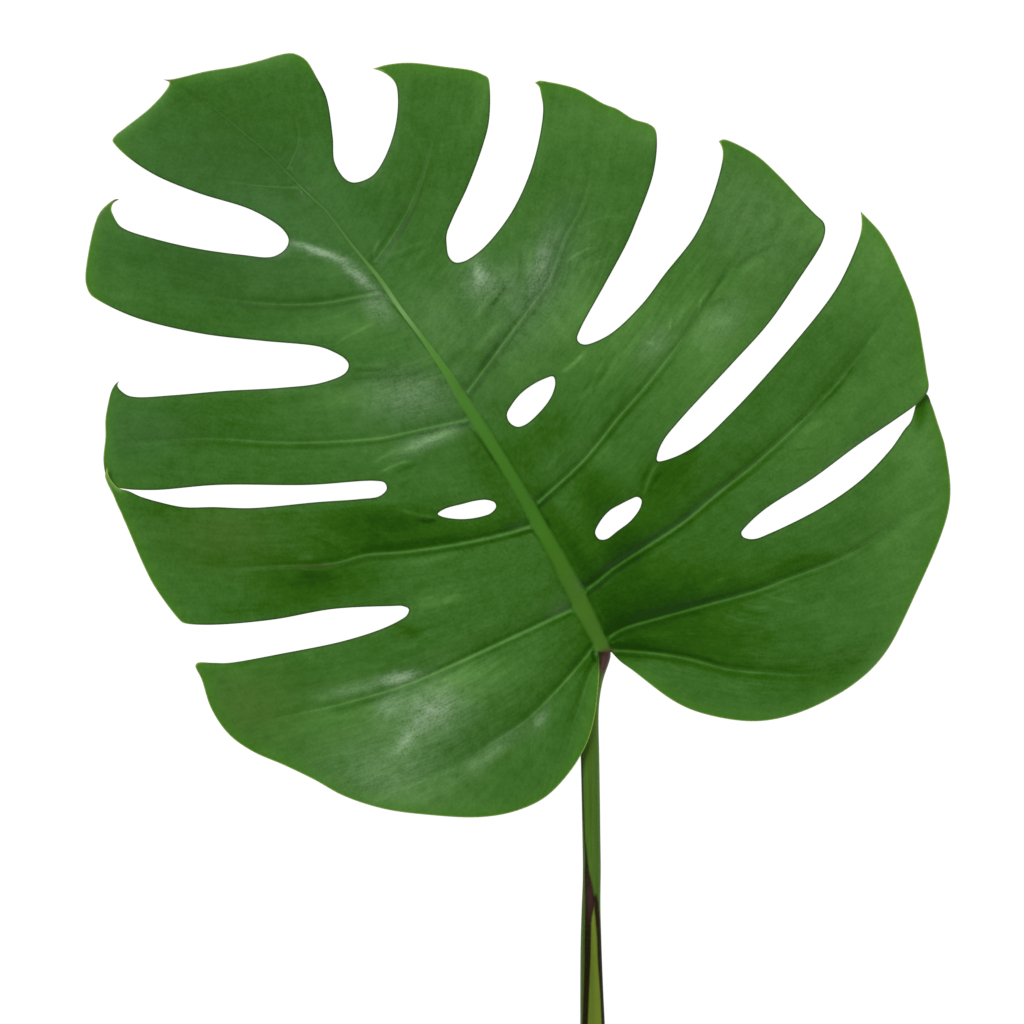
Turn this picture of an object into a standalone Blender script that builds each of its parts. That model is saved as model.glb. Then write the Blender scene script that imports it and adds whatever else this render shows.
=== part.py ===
"""A cut leaf of a split-leaf monstera, lying upper face up: the blade and its stalk.

Plan positions are millimetres from the knee, where the stalk meets the blade: x to the right, y away from the
stalk. The blade is first laid out flat, then raised into its arched and waved form by height formulas.
"""
import math

import bpy
import numpy as np
from mathutils import Vector
from mathutils.geometry import delaunay_2d_cdt

MM = 0.001

# Driving sizes of the blade
SHEET_THICKNESS = 0.8 * MM
MARGIN_STEP = 6 * MM
SHEET_STEP = 9 * MM
VEIN_STEP = 8 * MM
KNEE_HEIGHT = 13 * MM
TIP_HEIGHT = 0.6 * MM
MIDRIB_ARCH = 9 * MM
REACH_LEFT = 150 * MM
REACH_RIGHT = 205 * MM
DROOP_POWER = 1.7
MIDRIB_VALLEY = 2.2 * MM
MIDRIB_VALLEY_WIDTH = 9 * MM
VEIN_VALLEY = 1.6 * MM
VEIN_VALLEY_WIDTH = 8 * MM
LIP_DROOP = 0.9 * MM
LIP_WIDTH = 4 * MM
WAVE_HEIGHT = 1.2 * MM
WAVE_LENGTHS = (83 * MM, 97 * MM)
VEIN_VALLEY_FADE = 0.6
MIDRIB_DEPTH_RATIO = 1.35
MIDRIB_CROWN = 0.5 * MM
MIDRIB_SHOULDER = 0.6
WIDE_MIDRIB = 2 * MM
RIB_CLEARANCE = 2 * MM
LEAST_RIB_STEP = 1.5 * MM
VEIN_ROOT_WIDTH = 1.9 * MM
VEIN_END_WIDTH = 0.8 * MM
VEIN_DEPTH_RATIO = 0.8

# Height of the sheet where it lies over the stalk, and how far to each side it is held up
BLADE_OVER_STALK = 11 * MM
STALK_COVER_WIDTH = 14 * MM

# Edge of the blade, clockwise from the drip tip, one list from each sharp point to the next
TIP_EDGE = [(-221, 288), (-217.5, 288), (-200, 292), (-184.5, 294.5), (-172, 297.5), (-163.5, 300),
            (-157.5, 301), (-154.5, 300.5), (-149.5, 297.5), (-144, 288.5), (-139.3, 279), (-136, 259),
            (-135, 246), (-130, 238), (-126, 236), (-120.5, 237), (-115.5, 240), (-111, 246.5), (-107, 256),
            (-104.5, 265.5), (-103.5, 277), (-104.5, 285), (-107, 288.5), (-111.5, 291.5), (-116, 293)]
RIGHT_1_EDGE = [(-116, 293), (-109, 295), (-97.5, 296), (-80, 294), (-66, 292), (-61, 290), (-58.5, 288.5),
                (-57.5, 283), (-58, 266.5), (-60.5, 256), (-68.5, 234), (-76, 218), (-79, 210), (-79, 204.5),
                (-78, 199), (-75, 196), (-70.5, 196.5), (-66, 199), (-59, 205), (-46.5, 221.5), (-37, 242.5),
                (-32, 263), (-31, 274), (-32, 280), (-33, 284), (-35, 286)]
RIGHT_2_EDGE = [(-35, 286), (-33, 287), (-28.5, 286.5), (-14, 283), (-0.5, 275.5), (6, 273), (14, 268),
                (22, 265.5), (25, 263), (26, 257), (24, 240), (15.3, 216), (10.8, 205.5), (-0.3, 184.8),
                (-12.5, 162.5), (-14, 158), (-13, 156), (-10, 155), (-1.5, 158), (6, 163), (19, 176),
                (29.5, 190), (45, 210), (54, 230), (59, 249.5), (58.5, 254), (57, 257)]
RIGHT_3_EDGE = [(57, 257), (59, 258), (63, 257), (76, 250), (87, 240), (100, 226), (105.5, 220.3),
                (109.3, 216.8), (110.3, 213.5), (109, 207), (96, 186.3), (81.5, 165.5), (62.5, 144.5),
                (37, 117), (29, 107), (26, 100), (26, 97), (32, 98), (45, 104.5), (62, 120), (88.5, 149),
                (112.5, 178.5), (120, 191), (128, 211), (128.5, 218), (128, 222)]
RIGHT_4_EDGE = [(128, 222), (131, 219), (138, 211.3), (143.3, 202.5), (147.3, 194), (155, 175), (159.5, 152),
                (161, 142), (162, 134.5), (161, 131), (156, 125.5), (145, 117.5), (126.5, 105), (103.5, 88),
                (80, 73), (71, 65), (68, 61), (69, 59), (74, 58), (82.5, 61), (108.5, 74), (128.5, 88),
                (143, 103), (149.5, 111.7), (154.6, 115.2), (157.3, 118.7), (160.3, 124.3), (162.5, 128)]
RIGHT_5_EDGE = [(162.5, 128), (165.6, 125.5), (166.6, 122.3), (167.3, 119.8), (168.2, 114.3), (169.2, 109.1),
                (170.3, 104.2), (173, 84), (172, 72.5), (167.5, 58), (156, 32), (143, 5.5), (136.5, -3.5),
                (130, -10), (117.5, -19), (94.5, -29.5), (74, -33), (48.5, -29), (34.5, -23), (13, -7),
                (7.5, -3), (3.2, 1.5)]
BUTT_EDGE = [(3.2, 1.5), (1.9, 1.5), (0, 1.5), (-1.9, 1.5), (-3.2, 1.5)]
LEFT_4_EDGE = [(-3.2, 1.5), (-3, -4), (-3, -10), (-5, -29), (-9, -43.5), (-17.5, -58), (-30, -71), (-45, -78),
               (-62.5, -81), (-88, -80), (-111, -77), (-131, -70.5), (-145.5, -62.5), (-160, -55.5),
               (-177, -48), (-188.5, -39.5), (-197, -27), (-202, -12), (-205, -5.5), (-204, -4), (-196, -4),
               (-188.5, -4), (-160, 1), (-131, 7), (-112, 13), (-102.5, 17.5), (-99, 20), (-98, 23),
               (-101, 24.5), (-107, 24.5), (-136, 23), (-167, 17.5), (-198, 15), (-211, 16), (-213, 17.5),
               (-225, 33.5), (-231, 45), (-240, 66), (-242.2, 70.4), (-245.4, 74), (-248.4, 77.3),
               (-250.4, 79.2), (-252.9, 82.3), (-253.9, 84.8), (-253, 88.5)]
LEFT_3_EDGE = [(-253, 88.5), (-252.3, 85), (-250.3, 82.5), (-246.9, 80.4), (-244, 80), (-239.5, 80.2),
               (-234, 79.5), (-225, 77), (-211, 74), (-196, 74), (-177, 73.5), (-143.5, 76.5), (-122.5, 78),
               (-112.5, 79.5), (-109, 83), (-110, 86), (-115, 87), (-148, 85), (-194, 85), (-225, 82.5),
               (-240, 83), (-246.5, 84.5), (-249, 87.5), (-251, 97), (-250, 109), (-250, 118), (-248.5, 126.5),
               (-247, 132), (-245, 135.5), (-243, 137)]
LEFT_2_EDGE = [(-243, 137), (-244, 135), (-243, 133), (-239, 130), (-234, 129), (-215, 130), (-191, 132),
               (-162.5, 133.5), (-141.5, 136), (-129.5, 141), (-128, 145), (-130, 148), (-136, 151.5),
               (-143, 154), (-172, 157), (-201, 160.5), (-229.5, 167), (-244, 172.5), (-256, 179), (-258, 181),
               (-260, 187), (-259.5, 195), (-256, 213), (-253, 221), (-249.5, 225), (-245, 228), (-243, 228)]
LEFT_1_EDGE = [(-243, 228), (-246, 226), (-247, 223), (-246, 220), (-243, 215), (-239, 212.5), (-226.5, 208.5),
               (-205.5, 203.5), (-181.5, 200), (-166, 199), (-159.5, 203), (-158, 207), (-159, 210),
               (-162.5, 214), (-177, 222.5), (-203.5, 231), (-225, 240), (-238, 248.5), (-245, 255),
               (-246.5, 257.5), (-245, 260), (-240, 264), (-227.5, 274), (-219.5, 283), (-218, 286.5),
               (-221, 288)]
BLADE_EDGES = [TIP_EDGE, RIGHT_1_EDGE, RIGHT_2_EDGE, RIGHT_3_EDGE, RIGHT_4_EDGE, RIGHT_5_EDGE, BUTT_EDGE,
               LEFT_4_EDGE, LEFT_3_EDGE, LEFT_2_EDGE, LEFT_1_EDGE]

# Inner holes beside the midrib
HOLES = [
    [(-26, 139), (-25, 136), (-27, 129), (-33, 121), (-40, 115), (-44, 114), (-47.5, 116), (-49, 120),
     (-46.5, 125), (-42, 130.5), (-36, 135), (-30, 138)],
    [(-83.5, 70.5), (-80, 73), (-71, 75.5), (-65, 77), (-59, 77.5), (-55, 76), (-54.5, 74), (-57, 71),
     (-63, 69), (-70.5, 68), (-78, 68.5), (-82, 69.5)],
    [(16, 79), (18, 77.5), (17.5, 74), (13, 67.5), (6, 62), (0.5, 58), (-3, 58), (-5, 61), (-3, 66), (2, 72),
     (8, 75.5), (13, 78)],
]

# Midrib from the knee to the drip tip, with its half width at shares of its length
MIDRIB = [(0, 1.5), (-3, 7.5), (-15, 31.5), (-23, 47.5), (-29, 58), (-38.5, 75.5), (-44.6, 85.8), (-58, 107.8),
          (-70.5, 127), (-78, 139.5), (-90, 156.5), (-102, 172.5), (-113.2, 188.7), (-126.5, 205),
          (-132.5, 213), (-139.5, 222), (-146.5, 228.5), (-156.5, 238.5), (-166.5, 249), (-182.5, 262.5),
          (-192.5, 271), (-212.5, 285)]
MIDRIB_HALF_WIDTHS = [(0, 3.1), (0.03, 4), (0.06, 4.7), (0.09, 4.4), (0.16, 4.1), (0.26, 3.2), (0.4, 3.1),
                      (0.46, 2.4), (0.52, 1.6), (0.6, 1.5), (0.66, 1), (0.8, 0.7), (1, 0.3)]

# Side veins from the midrib outwards
SIDE_VEINS = [
    [(-152.5, 233.5), (-166, 234), (-177, 235), (-191, 237.5)],
    [(-158.3, 243.5), (-153.8, 253.8), (-152.8, 260), (-154.5, 268)],
    [(-112.5, 180.8), (-125, 178.5), (-138.5, 176), (-158, 175), (-177, 176), (-191, 178), (-205.5, 181)],
    [(-69.5, 117.3), (-84, 114.3), (-102.5, 110.3), (-112.5, 108.3), (-158, 106), (-196, 108), (-225, 107),
     (-242, 106)],
    [(-38, 64), (-50, 60.5), (-74, 55.3), (-102.5, 51.3), (-119.5, 50), (-132.5, 46.5), (-142.5, 45),
     (-158, 44.5), (-177, 43.5), (-188.5, 43), (-205.5, 45)],
    [(-17, 22.5), (-62.5, 1.3), (-78.5, -6), (-98, -14.5), (-131, -24.5), (-165, -32), (-174, -34)],
    [(-6, 3.5), (-19, -12), (-40, -33), (-56.5, -44), (-74, -55), (-98, -64.5)],
    [(-114.5, 197), (-106, 209), (-99, 221), (-93.5, 234), (-89, 248.5), (-87, 257)],
    [(-68.5, 131.5), (-36, 175.5), (-28.5, 186), (-20, 209), (-13, 221), (-8, 236), (-6.5, 245.5)],
    [(-33.3, 76.5), (-22.5, 86), (-12, 96), (-2.5, 107), (6.5, 118.5), (20, 134), (37.5, 156.5), (48, 173.5),
     (58.5, 187.8), (68, 200)],
    [(-11, 33.5), (5, 45.3), (17.5, 53.8), (37, 65.5), (56, 80.5), (75, 95.5), (103.5, 122), (123, 144),
     (140, 167.5)],
    [(1, 8.3), (11, 14.3), (23.5, 17.5), (48.5, 24.5), (74, 31.5), (93, 38.5), (118, 48), (132, 56),
     (147, 66)],
    [(3, 2.5), (23, 1), (42, -2), (61, -7), (80.5, -9), (99.5, -10), (112, -8.5)],
]

# Two lobe corners lie over their neighbours: the plan areas of the moved lobes, and where their hooks go
LEFT_3_AREA = [(-262, 100), (-252, 95), (-250.4, 87), (-247, 83.6), (-240, 81.4), (-225, 79.8), (-180, 79),
               (-180, 30), (-262, 30)]
LEFT_3_HOOK = (-253, 88.5)
LEFT_3_SHIFT = (4, 5.5)
RIGHT_5_AREA = [(180, 137), (163.8, 130.6), (158.6, 126.2), (151, 117.5), (140, 106.5), (120, 92), (120, 50),
                (180, 50)]
RIGHT_5_HOOK = (162.5, 128)
RIGHT_5_SHIFT = (-4, 4.5)
HOOK_REACH = 24 * MM
HOOK_LIFT = 2.3 * MM

# Stalk from its seat, 0.3 mm short of the blade's butt, to the cut end: y, centre x, half width, top height, and
# how far its sheath channel is open
STALK_STATIONS = [
    (1.2, -1.0, 4.1, 9.1, 0), (-4.5, -3.0, 4.5, 9.2, 0), (-10.5, -5.5, 4.5, 9.2, 0), (-20, -7.4, 4.4, 9.0, 0),
    (-29, -8.0, 4.3, 8.9, 0), (-40, -7.8, 4.3, 8.8, 0), (-51, -7.5, 4.3, 8.8, 0), (-65, -7.2, 4.2, 8.7, 0),
    (-78.5, -7.0, 4.2, 8.6, 0), (-92, -6.8, 4.1, 8.5, 0), (-106, -6.5, 4.1, 8.4, 0.05),
    (-116, -6.7, 4.1, 8.4, 0.2), (-126, -7.0, 4.3, 8.4, 0.5), (-136, -7.0, 4.6, 8.5, 0.75),
    (-146.5, -7.0, 4.9, 8.6, 0.9), (-160, -6.8, 5.2, 8.7, 1), (-174, -6.5, 5.5, 8.8, 1),
    (-184.5, -6.2, 5.8, 9.0, 1), (-198, -6.0, 6.0, 9.2, 1), (-213, -6.0, 6.2, 9.4, 1), (-227.5, -6.0, 6.4, 9.6, 1),
]
# Half sections on a half width and half height of 1, from the resting flat up to the top
ROUND_SECTION = [(0.40, -0.92), (0.80, -0.60), (0.98, -0.20), (0.98, 0.20), (0.80, 0.60), (0.60, 0.80),
                 (0.42, 0.91), (0.20, 0.98), (0.0, 1.0)]
CHANNEL_SECTION = [(0.40, -0.92), (0.82, -0.62), (1.0, -0.15), (0.99, 0.35), (0.88, 0.74), (0.74, 0.94),
                   (0.62, 0.60), (0.42, 0.04), (0.0, -0.12)]
SECTION_BOTTOM = 0.92


def in_metres(points):
    """Plan points, given in millimetres, as an array in metres."""
    return np.array(points, dtype=float) * MM


def curve_span(before, start, end, after, shares):
    """Points on the smooth span from start to end, at shares of its length, bending towards its neighbours."""
    knots = [0.0]
    for a, b in ((before, start), (start, end), (end, after)):
        knots.append(knots[-1] + max(np.linalg.norm(b - a), 1e-9) ** 0.5)
    t0, t1, t2, t3 = knots
    t = (t1 + (t2 - t1) * shares)[:, None]
    a1 = (t1 - t) / (t1 - t0) * before + (t - t0) / (t1 - t0) * start
    a2 = (t2 - t) / (t2 - t1) * start + (t - t1) / (t2 - t1) * end
    a3 = (t3 - t) / (t3 - t2) * end + (t - t2) / (t3 - t2) * after
    b1 = (t2 - t) / (t2 - t0) * a1 + (t - t0) / (t2 - t0) * a2
    b2 = (t3 - t) / (t3 - t1) * a2 + (t - t1) / (t3 - t1) * a3
    return (t2 - t) / (t2 - t1) * b1 + (t - t1) / (t2 - t1) * b2


def smooth_line(points, step, closed=False):
    """A smooth line through plan points, cut so that no piece is longer than step."""
    points = in_metres(points)
    if closed:
        padded = np.vstack([points[-1], points, points[0], points[1]])
    else:
        padded = np.vstack([2 * points[0] - points[1], points, 2 * points[-1] - points[-2]])
    line = []
    for i in range(1, len(padded) - 2):
        pieces = max(1, math.ceil(np.linalg.norm(padded[i + 1] - padded[i]) / step))
        line.append(curve_span(*padded[i - 1:i + 3], np.arange(pieces) / pieces))
    if not closed:
        line.append(padded[-2:-1])
    return np.vstack(line)


def nearest_on_line(points, line):
    """For each point: distance to the line, share of the line's length there, and side (1 left, -1 right)."""
    starts = line[:-1]
    runs = line[1:] - starts
    lengths = np.linalg.norm(runs, axis=1)
    travelled = np.concatenate([[0], np.cumsum(lengths)])
    away = points[:, None, :] - starts[None, :, :]
    share = np.clip((away * runs).sum(axis=2) / lengths ** 2, 0, 1)
    gap = np.linalg.norm(away - share[..., None] * runs, axis=2)
    best = gap.argmin(axis=1)
    rows = np.arange(len(points))
    station = (travelled[best] + share[rows, best] * lengths[best]) / travelled[-1]
    turn = runs[best, 0] * away[rows, best, 1] - runs[best, 1] * away[rows, best, 0]
    return gap[rows, best], station, np.where(turn >= 0, 1, -1)


def inside(points, loop):
    """Which points lie inside a closed loop."""
    found = np.zeros(len(points), dtype=bool)
    x, y = points[:, 0], points[:, 1]
    for (ax, ay), (bx, by) in zip(loop, np.roll(loop, -1, axis=0)):
        spans = (ay > y) != (by > y)
        crossing = (bx - ax) * (y - ay) / (by - ay if by != ay else 1e-12) + ax
        found ^= spans & (x < crossing)
    return found


def fade(distance, reach):
    """1 at no distance, falling smoothly to 0 at reach."""
    return np.clip(1 - (distance / reach) ** 2, 0, 1) ** 2


OUTLINE = np.vstack([smooth_line(edge, MARGIN_STEP)[:-1] for edge in BLADE_EDGES])
HOLE_LOOPS = [smooth_line(hole, MARGIN_STEP, closed=True) for hole in HOLES]
MIDRIB_LINE = smooth_line(MIDRIB, VEIN_STEP)
VEIN_LINES = [smooth_line(vein, VEIN_STEP) for vein in SIDE_VEINS]


def margin_distance(points):
    """Distance from each point to the nearest edge of the blade or of a hole."""
    loops = [OUTLINE] + HOLE_LOOPS
    return np.min([nearest_on_line(points, np.vstack([loop, loop[:1]]))[0] for loop in loops], axis=0)


def midrib_half_width(station):
    """Half width of the midrib at shares of its length."""
    shares, widths = zip(*MIDRIB_HALF_WIDTHS)
    return np.interp(station, shares, widths) * MM


def vein_half_width(station):
    """Half width of a side vein at shares of its length."""
    return VEIN_ROOT_WIDTH + (VEIN_END_WIDTH - VEIN_ROOT_WIDTH) * station


def sheet_height(points):
    """Height of the middle of the sheet over the table, at flat plan points."""
    distance, station, side = nearest_on_line(points, MIDRIB_LINE)
    crest = KNEE_HEIGHT + (TIP_HEIGHT - KNEE_HEIGHT) * station + 4 * MIDRIB_ARCH * station * (1 - station)
    outward = distance / np.where(side > 0, REACH_LEFT, REACH_RIGHT)
    height = crest * (1 - np.clip(outward, 0, 1.2) ** DROOP_POWER)
    waves = sum(np.sin(math.tau * points[:, i] / length) for i, length in enumerate(WAVE_LENGTHS))
    height += WAVE_HEIGHT * np.clip(outward, 0, 1) * waves / 2
    beside = np.clip(distance - midrib_half_width(station), 0, None)
    height -= MIDRIB_VALLEY * np.exp(-(beside / MIDRIB_VALLEY_WIDTH) ** 2) * (1 - station)
    for vein in VEIN_LINES:
        off, along, _ = nearest_on_line(points, vein)
        height -= VEIN_VALLEY * (1 - VEIN_VALLEY_FADE * along) * np.exp(-(off / VEIN_VALLEY_WIDTH) ** 2)
    height -= LIP_DROOP * np.exp(-margin_distance(points) / LIP_WIDTH)
    cover = nearest_on_line(points, in_metres([(x, y) for y, x, *_ in STALK_STATIONS[:7]]))[0]
    height += (BLADE_OVER_STALK - height) * np.exp(-(cover / STALK_COVER_WIDTH) ** 2)
    return overlap_heights(points, np.maximum(height, SHEET_THICKNESS / 2))


def overlap_heights(points, height):
    """Lifts the two corners that lie on top and presses the two that lie underneath onto the table."""
    left_3 = inside(points, in_metres(LEFT_3_AREA))
    right_5 = inside(points, in_metres(RIGHT_5_AREA))
    near_left = fade(np.linalg.norm(points - in_metres(LEFT_3_HOOK), axis=1), HOOK_REACH)
    near_right = fade(np.linalg.norm(points - in_metres(RIGHT_5_HOOK), axis=1), HOOK_REACH)
    pressed = np.where(left_3, 0, near_left) + np.where(right_5, near_right, 0)
    lifted = np.where(left_3, near_left, 0) + np.where(right_5, 0, near_right)
    floor = SHEET_THICKNESS / 2
    return floor + (height - floor) * (1 - pressed) + HOOK_LIFT * lifted


def moved_plan(points):
    """Plan points after the two hooked corners are slid over or under their neighbours."""
    moved = points.copy()
    for area, hook, shift in ((LEFT_3_AREA, LEFT_3_HOOK, LEFT_3_SHIFT), (RIGHT_5_AREA, RIGHT_5_HOOK, RIGHT_5_SHIFT)):
        weight = fade(np.linalg.norm(points - in_metres(hook), axis=1), HOOK_REACH)
        weight = np.where(inside(points, in_metres(area)), weight, 0)
        moved += weight[:, None] * in_metres(shift)
    return moved


def rib_relief(points):
    """How far the ribs stand below the sheet, and the midrib above it, at flat plan points."""
    distance, station, _ = nearest_on_line(points, MIDRIB_LINE)
    half = midrib_half_width(station)
    bow = np.sqrt(np.clip(1 - (distance / half) ** 2, 0, 1))
    below = MIDRIB_DEPTH_RATIO * half * bow
    for vein in VEIN_LINES:
        off, along, _ = nearest_on_line(points, vein)
        half = vein_half_width(along)
        below = np.maximum(below, VEIN_DEPTH_RATIO * half * np.clip(1 - off / half, 0, 1))
    return below, MIDRIB_CROWN * bow


def side_lines(line, offsets):
    """Lines beside a line, at signed distances given for each of its points."""
    along = np.gradient(line, axis=0)
    along /= np.linalg.norm(along, axis=1)[:, None]
    across = np.column_stack([-along[:, 1], along[:, 0]])
    return [line + across * offset[:, None] for offset in offsets]


def rib_points():
    """Plan points of the ribs: the midrib's five lines, and three lines for each side vein."""
    half = midrib_half_width(nearest_on_line(MIDRIB_LINE, MIDRIB_LINE)[1])
    wide = half > WIDE_MIDRIB
    rows = side_lines(MIDRIB_LINE, [0 * half, half, -half])
    rows += [row[wide] for row in side_lines(MIDRIB_LINE, [MIDRIB_SHOULDER * half, -MIDRIB_SHOULDER * half])]
    rows = [row[2:] for row in rows]
    for vein in VEIN_LINES:
        half = vein_half_width(np.linspace(0, 1, len(vein)))
        for row in side_lines(vein, [0 * half, half, -half]):
            off, share, _ = nearest_on_line(row, MIDRIB_LINE)
            rows.append(row[off > midrib_half_width(share) + RIB_CLEARANCE])
    points = np.vstack(rows)
    return points[margin_distance(points) > RIB_CLEARANCE]


def apart(points, least):
    """Points left after each one nearer than least to an earlier one is dropped."""
    kept = []
    for point in points:
        if not kept or np.min(np.linalg.norm(np.array(kept) - point, axis=1)) >= least:
            kept.append(point)
    return np.array(kept)


def field_points(ribs):
    """Plan points that fill the sheet between ribs and edges, on a grid of even triangles."""
    low, high = OUTLINE.min(axis=0), OUTLINE.max(axis=0)
    row_gap = SHEET_STEP * math.sqrt(3) / 2
    grid = []
    for row in range(int((high[1] - low[1]) / row_gap) + 1):
        start = low[0] + (row % 2) * SHEET_STEP / 2
        xs = np.arange(start, high[0], SHEET_STEP)
        grid.append(np.column_stack([xs, np.full(len(xs), low[1] + row * row_gap)]))
    grid = np.vstack(grid)
    keep = inside(grid, OUTLINE)
    for hole in HOLE_LOOPS:
        keep &= ~inside(grid, hole)
    grid = grid[keep]
    grid = grid[margin_distance(grid) > 0.45 * SHEET_STEP]
    to_ribs = np.min(np.linalg.norm(grid[:, None, :] - ribs[None, :, :], axis=2), axis=1)
    return grid[to_ribs > 0.5 * SHEET_STEP]


def flat_triangles():
    """The flat sheet: plan points and the triangles between them."""
    ribs = apart(rib_points(), LEAST_RIB_STEP)
    points, edges = [], []
    for loop in [OUTLINE] + HOLE_LOOPS:
        first = len(points)
        points += [Vector(point) for point in loop]
        edges += [(first + i, first + (i + 1) % len(loop)) for i in range(len(loop))]
    points += [Vector(point) for point in np.vstack([ribs, field_points(ribs)])]
    corners, _, faces, *_ = delaunay_2d_cdt(points, edges, [], 0, 1e-7)
    plan = np.array([tuple(corner) for corner in corners])
    triangles = np.array(faces)
    centres = plan[triangles].mean(axis=1)
    keep = inside(centres, OUTLINE)
    for hole in HOLE_LOOPS:
        keep &= ~inside(centres, hole)
    return plan, triangles[keep]


def edge_pairs(triangles):
    """Directed edges that belong to one triangle only."""
    pairs = {(int(t[i]), int(t[(i + 1) % 3])) for t in triangles for i in range(3)}
    return [pair for pair in pairs if (pair[1], pair[0]) not in pairs]


def finish_object(name, vertices, faces, material):
    """A named object from points and faces, shaded smooth except at its crisp edges."""
    mesh = bpy.data.meshes.new(name)
    mesh.from_pydata([tuple(vertex) for vertex in vertices], [], faces)
    mesh.materials.append(material)
    mesh.shade_smooth()
    mesh.set_sharp_from_angle(angle=math.radians(50))
    piece = bpy.data.objects.new(name, mesh)
    bpy.context.collection.objects.link(piece)
    return piece


def plain_material(name, colour, roughness):
    """A matt plant surface of one colour."""
    material = bpy.data.materials.new(name)
    material.use_nodes = True
    surface = material.node_tree.nodes["Principled BSDF"]
    surface.inputs["Base Color"].default_value = (*colour, 1)
    surface.inputs["Roughness"].default_value = roughness
    surface.inputs["Metallic"].default_value = 0
    return material


def make_blade():
    """The blade: one sheet, alike in its triangles above and below, with ribs below and the midrib's crown."""
    plan, triangles = flat_triangles()
    height = sheet_height(plan)
    below, above = rib_relief(plan)
    moved = moved_plan(plan)
    top = height + SHEET_THICKNESS / 2 + above
    under = np.maximum(height - SHEET_THICKNESS / 2 - below, 0)
    count = len(plan)
    vertices = np.vstack([np.column_stack([moved, top]), np.column_stack([moved, under])])
    faces = [tuple(int(i) for i in t) for t in triangles]
    faces += [tuple(int(i) + count for i in t[::-1]) for t in triangles]
    for a, b in edge_pairs(triangles):
        faces += [(b, a, a + count), (b, a + count, b + count)]
    green = plain_material("blade_green", (0.038, 0.144, 0.018), 0.42)
    return finish_object("blade", vertices, faces, green)


def stalk_ring(station):
    """One ring of the stalk, from its resting flat round to the other side."""
    y, x, half_width, top, opening = station
    half_height = top / (1 + SECTION_BOTTOM)
    half = [((1 - opening) * a[0] + opening * b[0], (1 - opening) * a[1] + opening * b[1])
            for a, b in zip(ROUND_SECTION, CHANNEL_SECTION)]
    section = half + [(-u, v) for u, v in half[-2::-1]]
    return [((x + u * half_width) * MM, y * MM, (v + SECTION_BOTTOM) * half_height * MM) for u, v in section]


def make_petiole():
    """The stalk: rings from the knee to the cut end, closed by flat ends, with a resting flat underneath."""
    rings = [stalk_ring(station) for station in STALK_STATIONS]
    around = len(rings[0])
    vertices = [point for ring in rings for point in ring]
    faces = [tuple(range(around - 1, -1, -1))]
    for r in range(len(rings) - 1):
        for i in range(around):
            j = (i + 1) % around
            a, b = r * around, (r + 1) * around
            faces += [(a + i, a + j, b + j), (a + i, b + j, b + i)]
    faces.append(tuple(range(len(vertices) - around, len(vertices))))
    green = plain_material("petiole_green", (0.069, 0.156, 0.016), 0.5)
    return finish_object("petiole", vertices, faces, green)


def centre_on_origin(pieces):
    """Places the pieces so that the origin lies under the middle of the whole leaf."""
    corners = np.array([vertex.co[:2] for piece in pieces for vertex in piece.data.vertices])
    middle = (corners.min(axis=0) + corners.max(axis=0)) / 2
    for piece in pieces:
        piece.location = (-middle[0], -middle[1], 0)


for old in list(bpy.data.objects):
    bpy.data.objects.remove(old)
centre_on_origin([make_blade(), make_petiole()])
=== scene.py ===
"""Looks of a cut split-leaf monstera leaf: a finer blade and stalk round the fixed solids, and the studio.

Plan positions are millimetres from the knee, where the stalk meets the blade: x to the right, y away from
the stalk. The blade's outline, veins and heights are those of its solid, worked out at finer steps, but the
roots of two side veins are smoothed by less than a millimetre. The stalk is a little wider than its solid.
"""
import math
from types import SimpleNamespace

import bmesh
import bpy
import numpy as np
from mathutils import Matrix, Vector
from mathutils.geometry import convex_hull_2d, delaunay_2d_cdt
from mathutils.kdtree import KDTree


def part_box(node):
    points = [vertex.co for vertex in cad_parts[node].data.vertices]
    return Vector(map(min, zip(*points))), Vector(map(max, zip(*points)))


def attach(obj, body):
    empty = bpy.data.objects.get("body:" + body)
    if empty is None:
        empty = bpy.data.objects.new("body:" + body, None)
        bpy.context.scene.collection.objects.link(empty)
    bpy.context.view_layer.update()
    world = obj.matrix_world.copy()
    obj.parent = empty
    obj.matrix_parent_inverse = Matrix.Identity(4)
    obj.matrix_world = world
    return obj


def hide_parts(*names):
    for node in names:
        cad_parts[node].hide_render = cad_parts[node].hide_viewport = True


MM = 0.001

# The blade's driving sizes, as on its solid
SHEET_THICKNESS = 0.8 * MM
KNEE_HEIGHT = 13 * MM
TIP_HEIGHT = 0.6 * MM
MIDRIB_ARCH = 9 * MM
REACH_LEFT = 150 * MM
REACH_RIGHT = 205 * MM
DROOP_POWER = 1.7
FARTHEST_DROOP = 1.2
MIDRIB_VALLEY = 2.2 * MM
MIDRIB_VALLEY_WIDTH = 9 * MM
VEIN_VALLEY = 1.6 * MM
VEIN_VALLEY_WIDTH = 8 * MM
VEIN_VALLEY_FADE = 0.6
LIP_DROOP = 0.9 * MM
LIP_WIDTH = 4 * MM
WAVE_HEIGHT = 1.2 * MM
WAVE_LENGTHS = (83 * MM, 97 * MM)
MIDRIB_DEPTH_RATIO = 1.35
MIDRIB_CROWN = 0.5 * MM
VEIN_ROOT_WIDTH = 1.9 * MM
VEIN_END_WIDTH = 0.8 * MM
VEIN_DEPTH_RATIO = 0.8
BLADE_OVER_STALK = 11 * MM
STALK_COVER_WIDTH = 14 * MM
HOOK_REACH = 24 * MM
HOOK_LIFT = 2.3 * MM

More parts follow.
